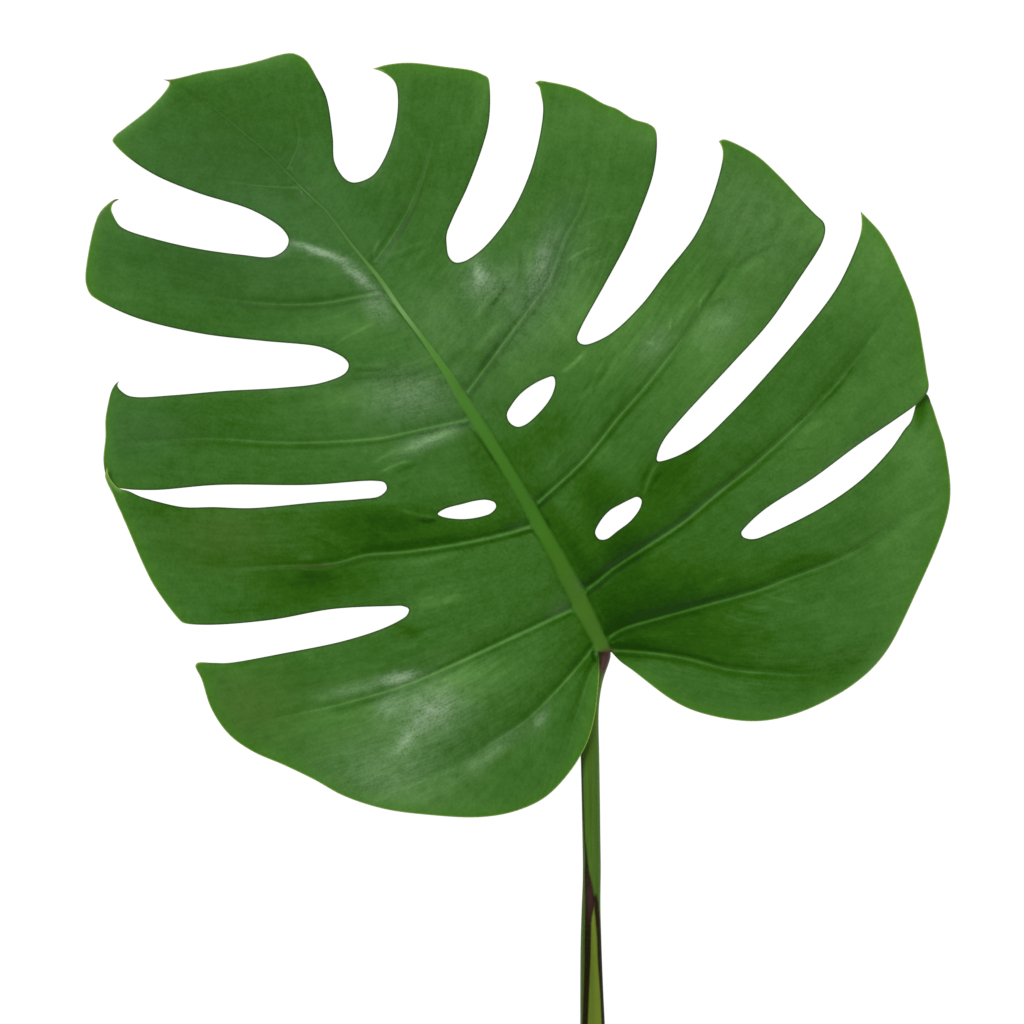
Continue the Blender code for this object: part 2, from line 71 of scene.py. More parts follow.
# Steps of the fine blade, and its finer relief
MARGIN_STEP = 1.2 * MM
MARGIN_READING_STEP = 0.4 * MARGIN_STEP
SHEET_STEP = 2.1 * MM
SHEET_FROM_MARGIN = 0.45 * SHEET_STEP
SHEET_FROM_RIBS = 0.5 * SHEET_STEP
VEIN_STEP = 2 * MM
LEAST_STEP = 0.32 * MM
WELD_DISTANCE = 1e-7
EDGE_THICKNESS = 0.45 * MM
EDGE_TAPER = 2.2 * MM
CREASE_SHARE = 0.45
CREASE_WIDTH = 6 * MM
MIDRIB_GROOVE = 0.16 * MM
MIDRIB_GROOVE_WIDTH = 0.9 * MM
FULL_GROOVE_HALF_WIDTH = 3 * MM
VEIN_RIDGE = 0.16 * MM
RIDGE_HALF_WIDTHS = 0.4
VEIN_GROOVE = 0.3 * MM
GROOVE_HALF_WIDTHS = 1.2
QUILT_HEIGHT = 0.05 * MM
QUILT_FROM_MIDRIB = 12 * MM
QUILT_FROM_MARGIN = 6 * MM
QUILTS_BETWEEN_VEINS = 5
FOLD_STEP = 1.5 * MM
FOLD_HEIGHT = 0.006 * MM
FOLD_ENDS = 0.25
FOLD_BLUNTNESS = 0.05
VEIN_RUN_ON = 60 * MM
OPEN_SIDE_GAP = 30 * MM
RIB_CLEARANCE = 1 * MM
VEINS_FROM_MIDRIB = 1.3
MIDRIB_BLEND = 5 * MM
MIDRIB_ROWS = (0, 0.3, 0.6, 0.85, 1, 1.25)
VEIN_ROWS = (0, 0.35, 0.75, 1.2, 1.9, 2.8)
FOLD_ROWS = (0, 0.7, 1.5)
BLADE_SHARP_ANGLE = math.radians(60)
STALK_SHARP_ANGLE = math.radians(50)

# Where the veins' valleys, ridges and ribs start to end, and how long that takes, in shares of a vein
VALLEY_ENDING = (1, 0.3)
RIDGE_ENDING = (0.8, 0.4)
RIB_ENDING = (0.9, 0.25)

# Edge of the blade, clockwise from the drip tip, one list from each sharp point to the next
TIP_EDGE = [(-221, 288), (-217.5, 288), (-200, 292), (-184.5, 294.5), (-172, 297.5), (-163.5, 300),
            (-157.5, 301), (-154.5, 300.5), (-149.5, 297.5), (-144, 288.5), (-139.3, 279), (-136, 259),
            (-135, 246), (-130, 238), (-126, 236), (-120.5, 237), (-115.5, 240), (-111, 246.5), (-107, 256),
            (-104.5, 265.5), (-103.5, 277), (-104.5, 285), (-107, 288.5), (-111.5, 291.5), (-116, 293)]
RIGHT_1_EDGE = [(-116, 293), (-109, 295), (-97.5, 296), (-80, 294), (-66, 292), (-61, 290), (-58.5, 288.5),
                (-57.5, 283), (-58, 266.5), (-60.5, 256), (-68.5, 234), (-76, 218), (-79, 210),
                (-79, 204.5), (-78, 199), (-75, 196), (-70.5, 196.5), (-66, 199), (-59, 205),
                (-46.5, 221.5), (-37, 242.5), (-32, 263), (-31, 274), (-32, 280), (-33, 284), (-35, 286)]
RIGHT_2_EDGE = [(-35, 286), (-33, 287), (-28.5, 286.5), (-14, 283), (-0.5, 275.5), (6, 273), (14, 268),
                (22, 265.5), (25, 263), (26, 257), (24, 240), (15.3, 216), (10.8, 205.5), (-0.3, 184.8),
                (-12.5, 162.5), (-14, 158), (-13, 156), (-10, 155), (-1.5, 158), (6, 163), (19, 176),
                (29.5, 190), (45, 210), (54, 230), (59, 249.5), (58.5, 254), (57, 257)]
RIGHT_3_EDGE = [(57, 257), (59, 258), (63, 257), (76, 250), (87, 240), (100, 226), (105.5, 220.3),
                (109.3, 216.8), (110.3, 213.5), (109, 207), (96, 186.3), (81.5, 165.5), (62.5, 144.5),
                (37, 117), (29, 107), (26, 100), (26, 97), (32, 98), (45, 104.5), (62, 120), (88.5, 149),
                (112.5, 178.5), (120, 191), (128, 211), (128.5, 218), (128, 222)]
RIGHT_4_EDGE = [(128, 222), (131, 219), (138, 211.3), (143.3, 202.5), (147.3, 194), (155, 175),
                (159.5, 152), (161, 142), (162, 134.5), (161, 131), (156, 125.5), (145, 117.5),
                (126.5, 105), (103.5, 88), (80, 73), (71, 65), (68, 61), (69, 59), (74, 58), (82.5, 61),
                (108.5, 74), (128.5, 88), (143, 103), (149.5, 111.7), (154.6, 115.2), (157.3, 118.7),
                (160.3, 124.3), (162.5, 128)]
RIGHT_5_EDGE = [(162.5, 128), (165.6, 125.5), (166.6, 122.3), (167.3, 119.8), (168.2, 114.3),
                (169.2, 109.1), (170.3, 104.2), (173, 84), (172, 72.5), (167.5, 58), (156, 32), (143, 5.5),
                (136.5, -3.5), (130, -10), (117.5, -19), (94.5, -29.5), (74, -33), (48.5, -29), (34.5, -23),
                (13, -7), (7.5, -3), (3.2, 1.5)]
BUTT_EDGE = [(3.2, 1.5), (1.9, 1.5), (0, 1.5), (-1.9, 1.5), (-3.2, 1.5)]
LEFT_4_EDGE = [(-3.2, 1.5), (-3, -4), (-3, -10), (-5, -29), (-9, -43.5), (-17.5, -58), (-30, -71),
               (-45, -78), (-62.5, -81), (-88, -80), (-111, -77), (-131, -70.5), (-145.5, -62.5),
               (-160, -55.5), (-177, -48), (-188.5, -39.5), (-197, -27), (-202, -12), (-205, -5.5),
               (-204, -4), (-196, -4), (-188.5, -4), (-160, 1), (-131, 7), (-112, 13), (-102.5, 17.5),
               (-99, 20), (-98, 23), (-101, 24.5), (-107, 24.5), (-136, 23), (-167, 17.5), (-198, 15),
               (-211, 16), (-213, 17.5), (-225, 33.5), (-231, 45), (-240, 66), (-242.2, 70.4), (-245.4, 74),
               (-248.4, 77.3), (-250.4, 79.2), (-252.9, 82.3), (-253.9, 84.8), (-253, 88.5)]
LEFT_3_EDGE = [(-253, 88.5), (-252.3, 85), (-250.3, 82.5), (-246.9, 80.4), (-244, 80), (-239.5, 80.2),
               (-234, 79.5), (-225, 77), (-211, 74), (-196, 74), (-177, 73.5), (-143.5, 76.5), (-122.5, 78),
               (-112.5, 79.5), (-109, 83), (-110, 86), (-115, 87), (-148, 85), (-194, 85), (-225, 82.5),
               (-240, 83), (-246.5, 84.5), (-249, 87.5), (-251, 97), (-250, 109), (-250, 118),
               (-248.5, 126.5), (-247, 132), (-245, 135.5), (-243, 137)]
LEFT_2_EDGE = [(-243, 137), (-244, 135), (-243, 133), (-239, 130), (-234, 129), (-215, 130), (-191, 132),
               (-162.5, 133.5), (-141.5, 136), (-129.5, 141), (-128, 145), (-130, 148), (-136, 151.5),
               (-143, 154), (-172, 157), (-201, 160.5), (-229.5, 167), (-244, 172.5), (-256, 179),
               (-258, 181), (-260, 187), (-259.5, 195), (-256, 213), (-253, 221), (-249.5, 225),
               (-245, 228), (-243, 228)]
LEFT_1_EDGE = [(-243, 228), (-246, 226), (-247, 223), (-246, 220), (-243, 215), (-239, 212.5),
               (-226.5, 208.5), (-205.5, 203.5), (-181.5, 200), (-166, 199), (-159.5, 203), (-158, 207),
               (-159, 210), (-162.5, 214), (-177, 222.5), (-203.5, 231), (-225, 240), (-238, 248.5),
               (-245, 255), (-246.5, 257.5), (-245, 260), (-240, 264), (-227.5, 274), (-219.5, 283),
               (-218, 286.5), (-221, 288)]
BLADE_EDGES = [TIP_EDGE, RIGHT_1_EDGE, RIGHT_2_EDGE, RIGHT_3_EDGE, RIGHT_4_EDGE, RIGHT_5_EDGE, BUTT_EDGE,
               LEFT_4_EDGE, LEFT_3_EDGE, LEFT_2_EDGE, LEFT_1_EDGE]

# Inner holes beside the midrib
HOLES = [
    [(-26, 139), (-25, 136), (-27, 129), (-33, 121), (-40, 115), (-44, 114), (-47.5, 116), (-49, 120),
     (-46.5, 125), (-42, 130.5), (-36, 135), (-30, 138)],
    [(-83.5, 70.5), (-80, 73), (-71, 75.5), (-65, 77), (-59, 77.5), (-55, 76), (-54.5, 74), (-57, 71),
     (-63, 69), (-70.5, 68), (-78, 68.5), (-82, 69.5)],
    [(16, 79), (18, 77.5), (17.5, 74), (13, 67.5), (6, 62), (0.5, 58), (-3, 58), (-5, 61), (-3, 66), (2, 72),
     (8, 75.5), (13, 78)],
]

# Midrib from the knee to the drip tip, with its half width at shares of its length
MIDRIB = [(0, 1.5), (-3, 7.5), (-15, 31.5), (-23, 47.5), (-29, 58), (-38.5, 75.5), (-44.6, 85.8),
          (-58, 107.8), (-70.5, 127), (-78, 139.5), (-90, 156.5), (-102, 172.5), (-113.2, 188.7),
          (-126.5, 205), (-132.5, 213), (-139.5, 222), (-146.5, 228.5), (-156.5, 238.5), (-166.5, 249),
          (-182.5, 262.5), (-192.5, 271), (-212.5, 285)]
MIDRIB_HALF_WIDTHS = [(0, 3.1), (0.03, 4), (0.06, 4.7), (0.09, 4.4), (0.16, 4.1), (0.26, 3.2), (0.4, 3.1),
                      (0.46, 2.4), (0.52, 1.6), (0.6, 1.5), (0.66, 1), (0.8, 0.7), (1, 0.3)]

# Side veins from the midrib outwards, from the tip down; the left side's last one crosses over the stalk
LEFT_VEINS = [
    [(-152.5, 233.5), (-166, 234), (-177, 235), (-191, 237.5)],
    [(-112.5, 180.8), (-125, 178.5), (-138.5, 176), (-158, 175), (-177, 176), (-191, 178), (-205.5, 181)],
    [(-69.5, 117.3), (-84, 114.3), (-102.5, 110.3), (-112.5, 108.3), (-158, 106), (-196, 108), (-225, 107),
     (-242, 106)],
    [(-38, 64), (-50, 60.5), (-74, 55.3), (-102.5, 51.3), (-119.5, 50), (-132.5, 46.5), (-142.5, 45),
     (-158, 44.5), (-177, 43.5), (-188.5, 43), (-205.5, 45)],
    [(-17, 22.5), (-62.5, 1.3), (-78.5, -6), (-98, -14.5), (-131, -24.5), (-165, -32), (-174, -34)],
    [(-6, 3.5), (-19, -12), (-40, -33), (-56.5, -44), (-74, -55), (-98, -64.5)],
    [(-4, -3), (-8, -11), (-12, -24), (-16, -36), (-19, -46)],
]
RIGHT_VEINS = [
    [(-158.3, 243.5), (-153.8, 253.8), (-152.8, 260), (-154.5, 268)],
    [(-114.5, 197), (-106, 209), (-99, 221), (-93.5, 234), (-89, 248.5), (-87, 257)],
    [(-68.5, 131.5), (-36, 175.5), (-28.5, 186), (-20, 209), (-13, 221), (-8, 236), (-6.5, 245.5)],
    [(-33.3, 76.5), (-22.5, 86), (-12, 96), (-2.5, 107), (6.5, 118.5), (20, 134), (37.5, 156.5), (48, 173.5),
     (58.5, 187.8), (68, 200)],
    [(-10.5, 32), (-4.2, 36.5), (3.3, 42.7), (14.2, 50), (25.8, 57.4), (40, 67), (56, 80.5), (75, 95.5),
     (103.5, 122), (123, 144), (140, 167.5)],
    [(1, 8.3), (6.7, 12), (14.2, 15), (24.2, 17.8), (38.3, 21.7), (48.5, 24.5), (74, 31.5), (93, 38.5),
     (118, 48), (132, 56), (147, 66)],
    [(3, 2.5), (23, 1), (42, -2), (61, -7), (80.5, -9), (99.5, -10), (112, -8.5)],
]
STALK_CROSSING_VEIN = len(LEFT_VEINS) - 1

# Painted light and shade of the sheet's fine folds and creases, which are also raised or sunk a little: how
# many green steps of painted light (raised) or painted shade (sunk), half width and line. The side veins are
# counted from the tip, after the short pair there
FOLD_LIGHT_AND_SHADE = [
    # Beside the first veins on both sides
    (26, 1.4, [(-157, 206), (-150, 204.5), (-142.5, 201.5), (-136, 199), (-131.5, 197)]),
    (14, 1.8, [(-130, 194.5), (-124.5, 190), (-119, 185.5), (-115, 183)]),
    (22, 0.8, [(-115.5, 199), (-114.5, 203.5), (-112.5, 207)]),
    (16, 0.8, [(-135, 155), (-131, 157.5), (-123.5, 161.5), (-114.5, 166)]),
    (8, 0.9, [(-148.5, 164.5), (-139.5, 167.5), (-131, 170), (-122.5, 174.5)]),
    (18, 1.2, [(-121.5, 175.5), (-118.5, 177.5), (-114.5, 177.5)]),
    (8, 0.7, [(-110, 198.5), (-100, 202.5), (-87.5, 207.5)]),
    (-8, 0.8, [(-109, 195.5), (-98.5, 200), (-86.5, 204.5)]),
    (-22, 0.6, [(-112, 180), (-107.5, 176), (-102.5, 170.5), (-97.5, 164.5), (-92.5, 157.5),
                (-86.5, 149.5)]),
    (-16, 1.5, [(-126.5, 138), (-112.5, 138.5), (-100, 140), (-90, 142)]),
    (10, 0.9, [(-126.5, 145.5), (-117.5, 144.5), (-107.5, 145.5)]),
    (-10, 0.8, [(-126.5, 142.5), (-115, 142), (-103.5, 143.5)]),
    # Near the second left vein and its slit
    (28, 1.5, [(-73, 113.5), (-80, 110.5), (-87.5, 107.5), (-96.5, 103.5), (-103.5, 101)]),
    (26, 0.8, [(-113.5, 90.5), (-107.5, 93.5), (-101.5, 96), (-96.5, 97)]),
    (-12, 1, [(-105, 91), (-98.5, 93.5), (-92.5, 95.5)]),
    (18, 0.9, [(-116, 96), (-108.5, 100), (-102.5, 103.5)]),
    (-20, 0.7, [(-69, 115), (-64, 109), (-58.5, 101.5), (-52.5, 92.5)]),
    (16, 0.9, [(-103.5, 73), (-96.5, 71), (-90, 69.5), (-84.5, 69)]),
    (-26, 1.1, [(-93.5, 67.5), (-89.5, 67), (-84, 67.5)]),
    (12, 0.6, [(-107, 84.5), (-103, 84)]),
    # Near the third left vein
    (-20, 0.7, [(-37.5, 62.5), (-32.5, 57.5), (-27.5, 49.5), (-23.5, 41.5)]),
    (12, 1.5, [(-75, 51), (-87.5, 47.5), (-100, 45)]),
    (12, 1.8, [(-154.5, 47.5), (-149.5, 49), (-145.5, 48)]),
    (16, 0.5, [(-128.5, 45.5), (-137.5, 43.5), (-146.5, 42.5), (-155, 43.5)]),
    (-10, 2.6, [(-153.5, 41), (-145, 40), (-135.5, 40.5)]),
    (-14, 1.6, [(-125, 53), (-110, 54.5), (-97.5, 56), (-82.5, 58), (-67.5, 60.5)]),
    (-8, 1.2, [(-152.5, 62.5), (-137.5, 55), (-130, 51)]),
    (8, 1.2, [(-127.5, 70), (-115, 62.5), (-105, 58.5)]),
    # Lower left lobe
    (-24, 1.8, [(-101.5, -17.5), (-110, -20.5), (-120, -23.5), (-130, -26.5), (-138.5, -28.5)]),
    (26, 2, [(-111, -14.5), (-106, -12.5), (-101, -11), (-96.5, -10.5)]),
    (12, 1.8, [(-132.5, -18.5), (-125, -17), (-116.5, -15.5)]),
    (14, 1.4, [(-144, -22), (-139, -21)]),
    (12, 0.6, [(-106, -22), (-110, -25.5), (-114, -29.5), (-117.5, -32.5)]),
    (-14, 0.6, [(-104.5, -23), (-108.5, -26.5), (-112.5, -30)]),
    (12, 0.6, [(-103, -24), (-107, -28), (-111, -32)]),
    (22, 1.2, [(-94.5, -38), (-98.5, -42.5), (-102, -47), (-104.5, -50.5)]),
    (14, 0.8, [(-66, -27), (-62, -25), (-58.5, -22)]),
    (-12, 2.8, [(-106.5, 16.5), (-101.5, 14.5), (-96.5, 11.5), (-92.5, 9)]),
    (18, 1.5, [(-81.5, 26), (-76.5, 28.5), (-72, 31)]),
    (12, 2.2, [(-47.5, -43.5), (-55, -48.5), (-63.5, -53.5), (-71.5, -58.5)]),
    (12, 1.5, [(-31.5, -29.5), (-34.5, -36)]),
    # Between the upper right veins
    (30, 1.6, [(-64, 196), (-63, 191), (-62, 185.5)]),
    (12, 1.2, [(-59, 178.5), (-62, 172.5), (-64.5, 167.5)]),
    (-20, 1.6, [(-48.5, 187.5), (-52, 181), (-56, 174.5), (-60, 167.5)]),
    (20, 1.2, [(-32, 195.5), (-32, 191.5), (-32.5, 187.5)]),
    (12, 1.5, [(-37.5, 202.5), (-37, 196.5), (-38, 190)]),
    (16, 1.4, [(-19.5, 215.5), (-22, 212), (-24.5, 207.5)]),
    (-10, 1, [(-43, 202.5), (-42, 196.5), (-43, 190)]),
    (20, 0.7, [(-19, 196.5), (-15, 199.5), (-10.5, 202), (-6.5, 203.5)]),
    (-12, 0.8, [(-14, 195.5), (-8.5, 199), (-2.5, 202.5)]),
    (10, 0.7, [(-12.5, 191), (-5, 195.5), (3.5, 198.5)]),
    (8, 0.7, [(-10, 214.5), (-2.5, 218), (6.5, 219), (13.5, 217.5)]),
    (-16, 1.4, [(-62.5, 141.5), (-58.5, 147.5), (-54, 153.5), (-50, 158.5)]),
    (12, 1.4, [(-66, 149.5), (-61, 156), (-55.5, 162.5), (-50.5, 168.5)]),
    (28, 1.1, [(-22.5, 140.5), (-17.5, 144), (-13, 148), (-9.5, 152)]),
    (-12, 1, [(-4, 141.5), (-7.5, 136.5), (-11, 131.5)]),
    (9, 1, [(-0.5, 147.5), (-4, 141.5), (-7.5, 135.5)]),
    (-12, 1, [(1.5, 144.5), (-2.5, 138.5), (-6.5, 132.5)]),
    (8, 1, [(5, 146.5), (1, 139.5), (-3.5, 133.5)]),
    # Near the third and fourth right veins
    (-22, 1.4, [(31.5, 150.5), (37.5, 157), (42.5, 164.5), (48, 173), (53.5, 181), (58.5, 188.5),
                (64, 195.5)]),
    (24, 0.7, [(47, 171.5), (47.5, 176), (50, 180), (52.5, 182.5)]),
    (18, 0.7, [(32, 162.5), (33, 168.5)]),
    (20, 1, [(20, 156.5), (25, 155)]),
    (-12, 1.2, [(50.5, 173.5), (57.5, 177), (66.5, 178.5)]),
    (-12, 1.2, [(65, 193.5), (71.5, 198.5), (80, 203), (86.5, 206)]),
    (12, 1.6, [(66, 189.5), (73.5, 194.5), (81.5, 198)]),
    (12, 2, [(49, 162.5), (56.5, 165.5), (63.5, 167.5)]),
    (-20, 1.8, [(-35.5, 74.5), (-31.5, 69), (-27.5, 62.5)]),
    (7, 1.2, [(-30, 91.5), (-26, 97.5), (-21.5, 104)]),
    (7, 1.2, [(-15, 126.5), (-8.5, 131.5), (-1.5, 136.5)]),
    (16, 0.7, [(26.5, 96), (23, 90.5), (20.5, 84), (19, 79.5)]),
    (-14, 1, [(23.5, 97), (20, 90.5), (17.5, 84)]),
    (-12, 1, [(28.5, 92.5), (24.5, 87), (21.5, 81.5)]),
    (-18, 1.2, [(38.5, 99.5), (43.5, 102.5), (47, 105)]),
    (-18, 1, [(95, 115.5), (103, 122), (110.5, 128), (117, 134.5), (122.5, 142), (127.5, 149)]),
    (12, 2, [(98.5, 111), (103.5, 114.5), (108.5, 117.5)]),
    (-12, 0.8, [(93.5, 102), (99, 103), (103.5, 103.5)]),
    # Lower right lobe, and the painted shadow in the notch at the knee with painted light beside it
    (-10, 1.5, [(120, 51), (130, 55), (140, 61), (148.5, 67.5)]),
    (9, 0.7, [(65, 26.5), (72.5, 24.5), (82.5, 23.5)]),
    (9, 0.7, [(77.5, 31.5), (85, 28.5), (95, 26.5)]),
    (-8, 0.8, [(65, 23.5), (73.5, 21), (83.5, 20)]),
    (7, 0.7, [(57.5, 21.5), (67.5, 17.5), (80, 15.5)]),
    (9, 1.5, [(48.5, 31.5), (53.5, 35.5), (58.5, 39)]),
    (-55, 0.7, [(-6, 4), (-6.2, 0.5), (-5.4, -2.5), (-3.2, -4.5)]),
    (24, 1.1, [(-3.6, 5), (-4, 2), (-4.1, -0.5), (-3.4, -2.5)]),
    # Painted highlight along the edge of the left corner that lies on top
    (70, 0.9, [(-253.2, 92), (-252.7, 84.6), (-250.5, 81.8), (-246.6, 79.8), (-242, 79.2)]),
]

# Two lobe corners lie over their neighbours: the plan areas of the moved lobes, and where their hooks go
LEFT_3_AREA = [(-262, 100), (-252, 95), (-250.4, 87), (-247, 83.6), (-240, 81.4), (-225, 79.8), (-180, 79),
               (-180, 30), (-262, 30)]
LEFT_3_HOOK = (-253, 88.5)
LEFT_3_SHIFT = (4, 5.5)
RIGHT_5_AREA = [(180, 137), (163.8, 130.6), (158.6, 126.2), (151, 117.5), (140, 106.5), (120, 92), (120, 50),
                (180, 50)]
RIGHT_5_HOOK = (162.5, 128)
RIGHT_5_SHIFT = (-4, 4.5)

# Stalk from its seat to the cut end: y, centre x, half width, top height, and how far its channel is open
STALK_STATIONS = [
    (1.2, -1.0, 4.1, 9.1, 0), (-4.5, -3.0, 4.5, 9.2, 0), (-10.5, -5.5, 4.5, 9.2, 0),
    (-20, -7.4, 4.4, 9.0, 0), (-29, -8.0, 4.3, 8.9, 0), (-40, -7.8, 4.3, 8.8, 0), (-51, -7.5, 4.3, 8.8, 0),
    (-65, -7.2, 4.2, 8.7, 0), (-78.5, -7.0, 4.2, 8.6, 0), (-92, -6.8, 4.1, 8.5, 0),
    (-106, -6.5, 4.1, 8.4, 0.05), (-116, -6.7, 4.1, 8.4, 0.2), (-126, -7.0, 4.3, 8.4, 0.5),
    (-136, -7.0, 4.6, 8.5, 0.75), (-146.5, -7.0, 4.9, 8.6, 0.9), (-160, -6.8, 5.2, 8.7, 1),
    (-174, -6.5, 5.5, 8.8, 1), (-184.5, -6.2, 5.8, 9.0, 1), (-198, -6.0, 6.0, 9.2, 1),
    (-213, -6.0, 6.2, 9.4, 1), (-227.5, -6.0, 6.4, 9.6, 1),
]
SECTION_BOTTOM = 0.92

# Ring at the seat that closes the stalk, how much wider than its solid the stalk is on each side, how near
# to its place a ring's point is looked for, and how straight down the stalk a face of the cut end looks
STALK_SIDES = 24
STALK_JOIN = (5, -2, 2.8, 9, 0)
STALK_SWELL = 0.45
RING_TOLERANCE = 0.1
END_FACING = 0.9

# Channel of the sheath: how far points of a ring rise or sink, at shares of its half width, and how near to
# such a share a point is looked for
SHARE_TOLERANCE = 0.04
CHANNEL_SHIFTS = [(0.866, 0.24), (0.707, 0.233), (0.5, -0.316), (0.259, -0.966), (0, -1.12)]

# Bands down the stalk, each with its y, left x and right x: dry sheath margins, the darker flank beside the
# left one, and the channel's floor. The margins and the floor only show above a height
MARKS_ABOVE = 2.4
MARKS_RISE = 1
MARK_SOFTNESS = 0.8
FLANK_DARKNESS = 0.4
LEFT_SHEATH_MARGIN = [(-48, -11.8, -11.2), (-67.5, -11.6, -10.8), (-92, -10.7, -9.9), (-101, -10, -8.8),
                      (-107, -10.3, -8.2), (-112.5, -10.3, -6.9), (-121, -10.1, -5.1), (-126, -10.1, -5.4),
                      (-132, -10.1, -6.8), (-141, -10.3, -7), (-152, -10.3, -7.2), (-167.5, -10.8, -7.9),
                      (-182, -11.5, -8.5), (-228, -12.5, -9.2)]
RIGHT_SHEATH_MARGIN = [(-119.5, -5.6, -4.6), (-122, -5.9, -3.4), (-125, -5.6, -3.2), (-132, -4.8, -2.5),
                       (-141, -4, -1.9), (-152, -3.7, -1.5), (-167.5, -2.6, -0.7), (-182, -1.9, 0.2),
                       (-228, -0.8, 1.2)]
LEFT_FLANK = [(-95, -14, -9.8), (-150, -14, -10.3), (-228, -15, -12)]
CHANNEL_FLOOR = [(-124, -6, -5.4), (-132, -7, -4.8), (-141, -7.3, -4), (-152, -7.5, -3.7),
                 (-167.5, -8.2, -2.6), (-182, -8.8, -1.9), (-228, -9.6, -0.8)]

# Brown of the knee, which starts on a slanted line across the stalk. Its left shoulder stays pale, and the
# sheath's mouth has a spot of the same brown: both are soft ovals, as described below
KNEE_BROWN_START = -15
KNEE_BROWN_SLANT = 0.75
KNEE_BROWN_LENGTH = 8
KNEE_BROWN_POWER = 1.2
PALE_SHOULDER = [(-4.2, 0, 4, 1.6, 90, 0.75)]
SHEATH_MOUTH = [(-7.6, -122, 9, 1.7, 90, 0.6)]

# How each side vein looks: strength of its pale line, share of its length where that ends, half width of
# the line at the root, and how many green steps of painted shade darken the sheet beside it, painted light
# where below nought: in the narrow dips on its base side and tip side, and further out on each
VEIN_LOOKS = [
    (0.55, 1, 0.35, 0, 0, 4, 0), (0.5, 0.9, 0.6, 24, 10, 4, 4), (0.65, 0.9, 0.7, 22, 4, 4, 4),
    (0.7, 0.9, 0.85, 26, 12, 2, 24), (0.95, 1, 0.95, 14, 16, -2, 8), (0.75, 0.7, 0.7, 8, 12, -2, 14),
    (0.25, 0.8, 0.6, 6, 8, -6, 12), (0.45, 1, 0.35, 0, 0, 8, 0), (0.45, 0.9, 0.5, 17, 6, 8, 2),
    (0.6, 1, 0.45, 19, 12, 10, 8), (0.7, 0.85, 0.6, 28, 16, 4, 8), (0.7, 1, 0.85, 22, 14, 4, 24),
    (0.75, 1, 0.85, 14, 14, 4, 30), (0.45, 1, 0.6, 24, 14, 2, 28),
]
# The narrow dips and the broad shade beside the veins are painted shade: where the dips lie and how wide
# they are, how far the broad shade reaches, how it fades along a vein, and where it starts beside the midrib
DIP_PLACE = 2
DIP_WIDTH = 1.1
SHADE_REACH = 7
SHADE_LOSS = 0.75
SHADE_LOSS_POWER = 1.5
SHADE_LOSS_END = 1.2
SHADE_FROM_MIDRIB = (0.9, 1.2)
LINE_END_WIDTH = 0.35
LINE_FLARE = 1.2
LINE_FLARE_LENGTH = 1.2 * MM
LINE_LIGHT = 0.36
MARGIN_BAND = 9
MARGIN_LIGHT = 8
CROSSING_REACH = 12 * MM
OUTER_END = 14.4 * MM
OUTER_FADE = 9 * MM
KNEE_REACH = 10 * MM
# Painted shade along the grooves at the midrib's right and left edges, full where its half width is 3 mm or
# more, a tenth where it is 1.2 mm or less
MIDRIB_EDGE_SHADE_RIGHT = 0.08
MIDRIB_EDGE_SHADE_LEFT = 0.06
MIDRIB_EDGE_SHADE_BY_WIDTH = ((1.2, 3), (0.1, 1))
EVEN_WRINKLES = 0.3
RIGHT_SIDE_PLACES = 10
MIDRIB_TINT_NARROWING = ((0.4, 0.5), (1, 0.8))

# Greens of the sheet from the darkest painted shade in its folds to the lightest painted light on its
# crests,
# 80 steps in all, and of the midrib from knee to drip tip, with a painted highlight a little past its middle
MIDDLE_GREEN = 0.16
GREEN_STEPS = 80
BODY_GREENS = [(0, "#183c04"), (0.19, "#214b07"), (0.38, "#2d5a0e"), (0.55, "#3b6826"), (0.73, "#497632"),
               (0.94, "#58873f"), (1, "#66924c")]
MIDRIB_GREENS_AND_HIGHLIGHT = [(0.02, "#456b21"), (0.2, "#3e6f1d"), (0.36, "#437525"), (0.45, "#4f8131"),
                 (0.5, "#568638"), (0.55, "#729b5a"), (0.6, "#5f8944"), (0.7, "#497335"), (0.85, "#3e672d")]
